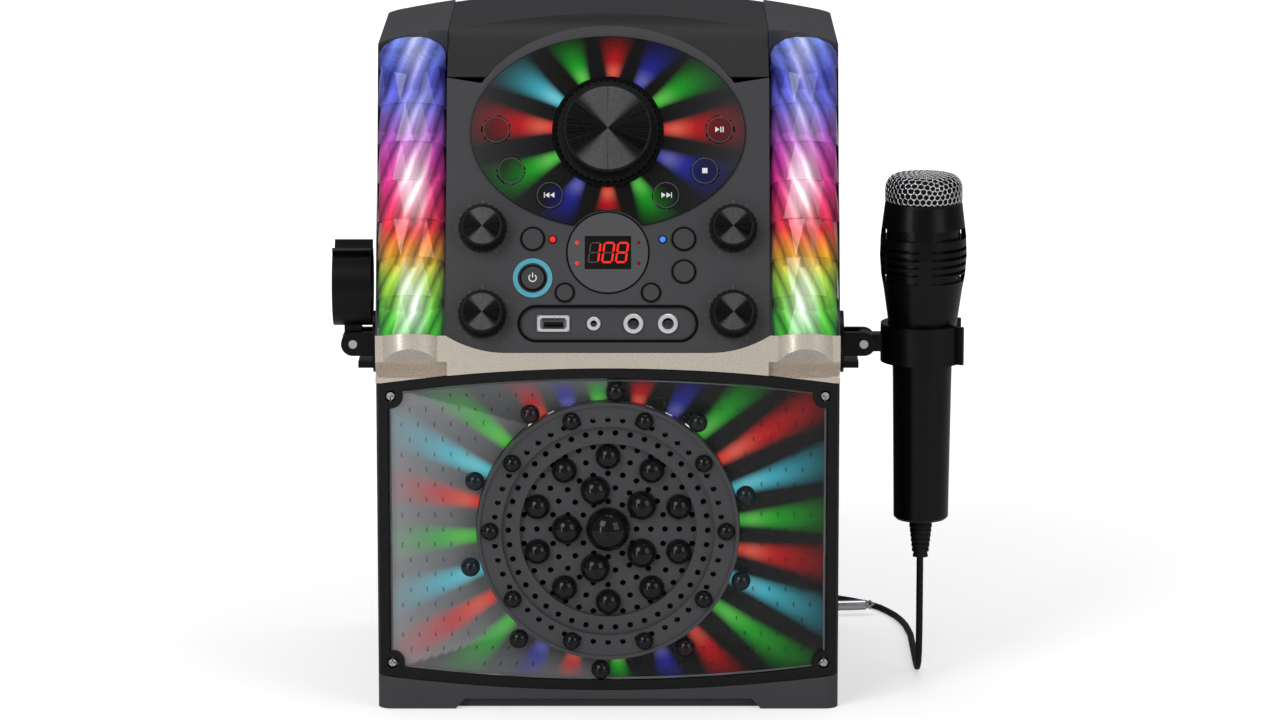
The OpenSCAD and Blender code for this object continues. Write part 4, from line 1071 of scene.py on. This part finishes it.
def head_shape(p):
    """Lays a unit sphere's upper half on the head's profile, by distance from its top."""
    lengths = [math.dist(a, b) for a, b in zip(HEAD_PROFILE, HEAD_PROFILE[1:])]
    s = math.acos(max(-1, min(1, p.z))) / (math.pi / 2) * sum(lengths)
    r, h = HEAD_PROFILE[-1]
    for (r0, h0), (r1, h1), length in zip(HEAD_PROFILE, HEAD_PROFILE[1:], lengths):
        if s <= length:
            r, h = r0 + (r1 - r0) * s / length, h0 + (h1 - h0) * s / length
            break
        s -= length
    a = math.atan2(p.y, p.x)
    x, y = MIC_AXIS[0] + r * mm * math.cos(a), MIC_AXIS[1] + r * mm * math.sin(a)
    return Vector((x, y, MIC_FOOT + HEAD_FOOT + h * mm))


def microphone_head():
    """The wires run along the edges of hexagons: the dual of a finely cut icosphere."""
    ball = bmesh.new()
    bmesh.ops.create_icosphere(ball, subdivisions=HEAD_CUTS, radius=1)
    ball.verts.ensure_lookup_table()
    centres = {f.index: f.calc_center_median().normalized() for f in ball.faces}
    used, points, edges = {}, [], []
    for e in ball.edges:
        a, b = (f.index for f in e.link_faces)
        if centres[a].z < HEAD_LOW or centres[b].z < HEAD_LOW:
            continue
        for i in (a, b):
            if i not in used:
                used[i] = len(points)
                points.append(head_shape(centres[i]))
        edges.append((used[a], used[b]))
    ball.free()
    mesh = bpy.data.meshes.new("microphone_mesh")
    mesh.from_pydata(points, edges, [])
    piece = linked("microphone_mesh", mesh)
    skin = piece.modifiers.new("wire", "SKIN")
    for v in mesh.skin_vertices[0].data:
        v.radius = (WIRE_R, WIRE_R)
    mesh.skin_vertices[0].data[0].use_root = True
    skin.use_smooth_shade = True
    seen = piece.evaluated_get(bpy.context.evaluated_depsgraph_get())
    dressed = bpy.data.meshes.new_from_object(seen)
    piece.modifiers.clear()
    piece.data = dressed
    repaint(dressed, PAINT["mesh"])
    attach(piece, "microphone")


def microphone_band():
    r, h = HEAD_R, HEAD_FOOT
    profile = [(r - 0.6 * mm, h - 0.9 * mm), (r + 0.15 * mm, h - 0.7 * mm),
               (r + 0.15 * mm, h + 0.6 * mm), (r - 0.6 * mm, h + 0.9 * mm)]
    band = at(Matrix.Translation((*MIC_AXIS, MIC_FOOT)), turned(profile, 72))
    add_piece("microphone_band", band, "microphone", PAINT["mic"])


microphone_head()
microphone_band()

# ---- floor, light and the last lines ----

FLOOR_HALF = 14
FLOOR_DROP = 0.2 * mm
# how strongly the floor glows for the camera, and at which distances from the part
FLOOR_LIFT = (0.5, 0.95)
LIFT_REACH = (0.25, 1.7)


def floor():
    """A flat white floor, open on all sides. Only the camera sees its lift, which grows outwards."""
    mesh = bpy.data.meshes.new("floor")
    corners = [(x * FLOOR_HALF, y * FLOOR_HALF, 0) for x, y in ((-1, -1), (1, -1), (1, 1), (-1, 1))]
    mesh.from_pydata(corners, [], [(0, 1, 2, 3)])
    ground = linked("floor", mesh)
    ground.location.z = -FLOOR_DROP
    paint = finish_of("floor", (0.88, 0.88, 0.88), 0.55, vary=0.01, bump=0.0)
    tree_nodes, links, shader = links_of(paint)
    away = tree_nodes.new("ShaderNodeVectorMath")
    away.operation = "LENGTH"
    links.new(tree_nodes["Texture Coordinate"].outputs["Object"], away.inputs[0])
    grown = tree_nodes.new("ShaderNodeMapRange")
    links.new(away.outputs["Value"], grown.inputs["Value"])
    grown.inputs["From Min"].default_value, grown.inputs["From Max"].default_value = LIFT_REACH
    grown.inputs["To Min"].default_value, grown.inputs["To Max"].default_value = FLOOR_LIFT
    lift = tree_nodes.new("ShaderNodeMath")
    lift.operation = "MULTIPLY"
    links.new(grown.outputs["Result"], lift.inputs[0])
    links.new(tree_nodes.new("ShaderNodeLightPath").outputs["Is Camera Ray"], lift.inputs[1])
    shader.inputs["Emission Color"].default_value = (1, 1, 1, 1)
    links.new(lift.outputs[0], shader.inputs["Emission Strength"])
    mesh.materials.append(paint)


# the lamps all face one place; the world lights from all round, and is white behind the floor
LAMP_AIM = Vector((0, 0, 0.2))
ALL_ROUND = 0.21
BACKDROP = 1.1


def lamp(name, place, size, power):
    data = bpy.data.lights.new(name, "AREA")
    data.shape = "RECTANGLE"
    data.size, data.size_y = size
    data.energy = power
    light = linked(name, data)
    light.location = place
    light.rotation_euler = (LAMP_AIM - Vector(place)).to_track_quat("-Z", "Y").to_euler()


floor()
lamp("key", (-1.3, -1.9, 1.9), (1.4, 1.4), 27)
lamp("fill", (1.6, -1.6, 1.1), (1.2, 1.6), 12)
lamp("top", (0.1, 0.3, 2.4), (1.8, 1.2), 14)
lamp("strip", (-0.9, -1.2, 0.25), (0.2, 0.9), 3)


def studio_world():
    """Soft light from all round, and plain white where the camera looks past the floor."""
    world = bpy.data.worlds.new("studio")
    world.use_nodes = True
    tree = world.node_tree
    glow = tree.nodes["Background"]
    glow.inputs["Color"].default_value = (0.95, 0.96, 1, 1)
    seen = tree.nodes.new("ShaderNodeMapRange")
    camera_ray = tree.nodes.new("ShaderNodeLightPath").outputs["Is Camera Ray"]
    tree.links.new(camera_ray, seen.inputs["Value"])
    seen.inputs["To Min"].default_value = ALL_ROUND
    seen.inputs["To Max"].default_value = BACKDROP
    tree.links.new(seen.outputs["Result"], glow.inputs["Strength"])
    bpy.context.scene.world = world


studio_world()
bpy.context.scene.view_settings.view_transform = "Standard"
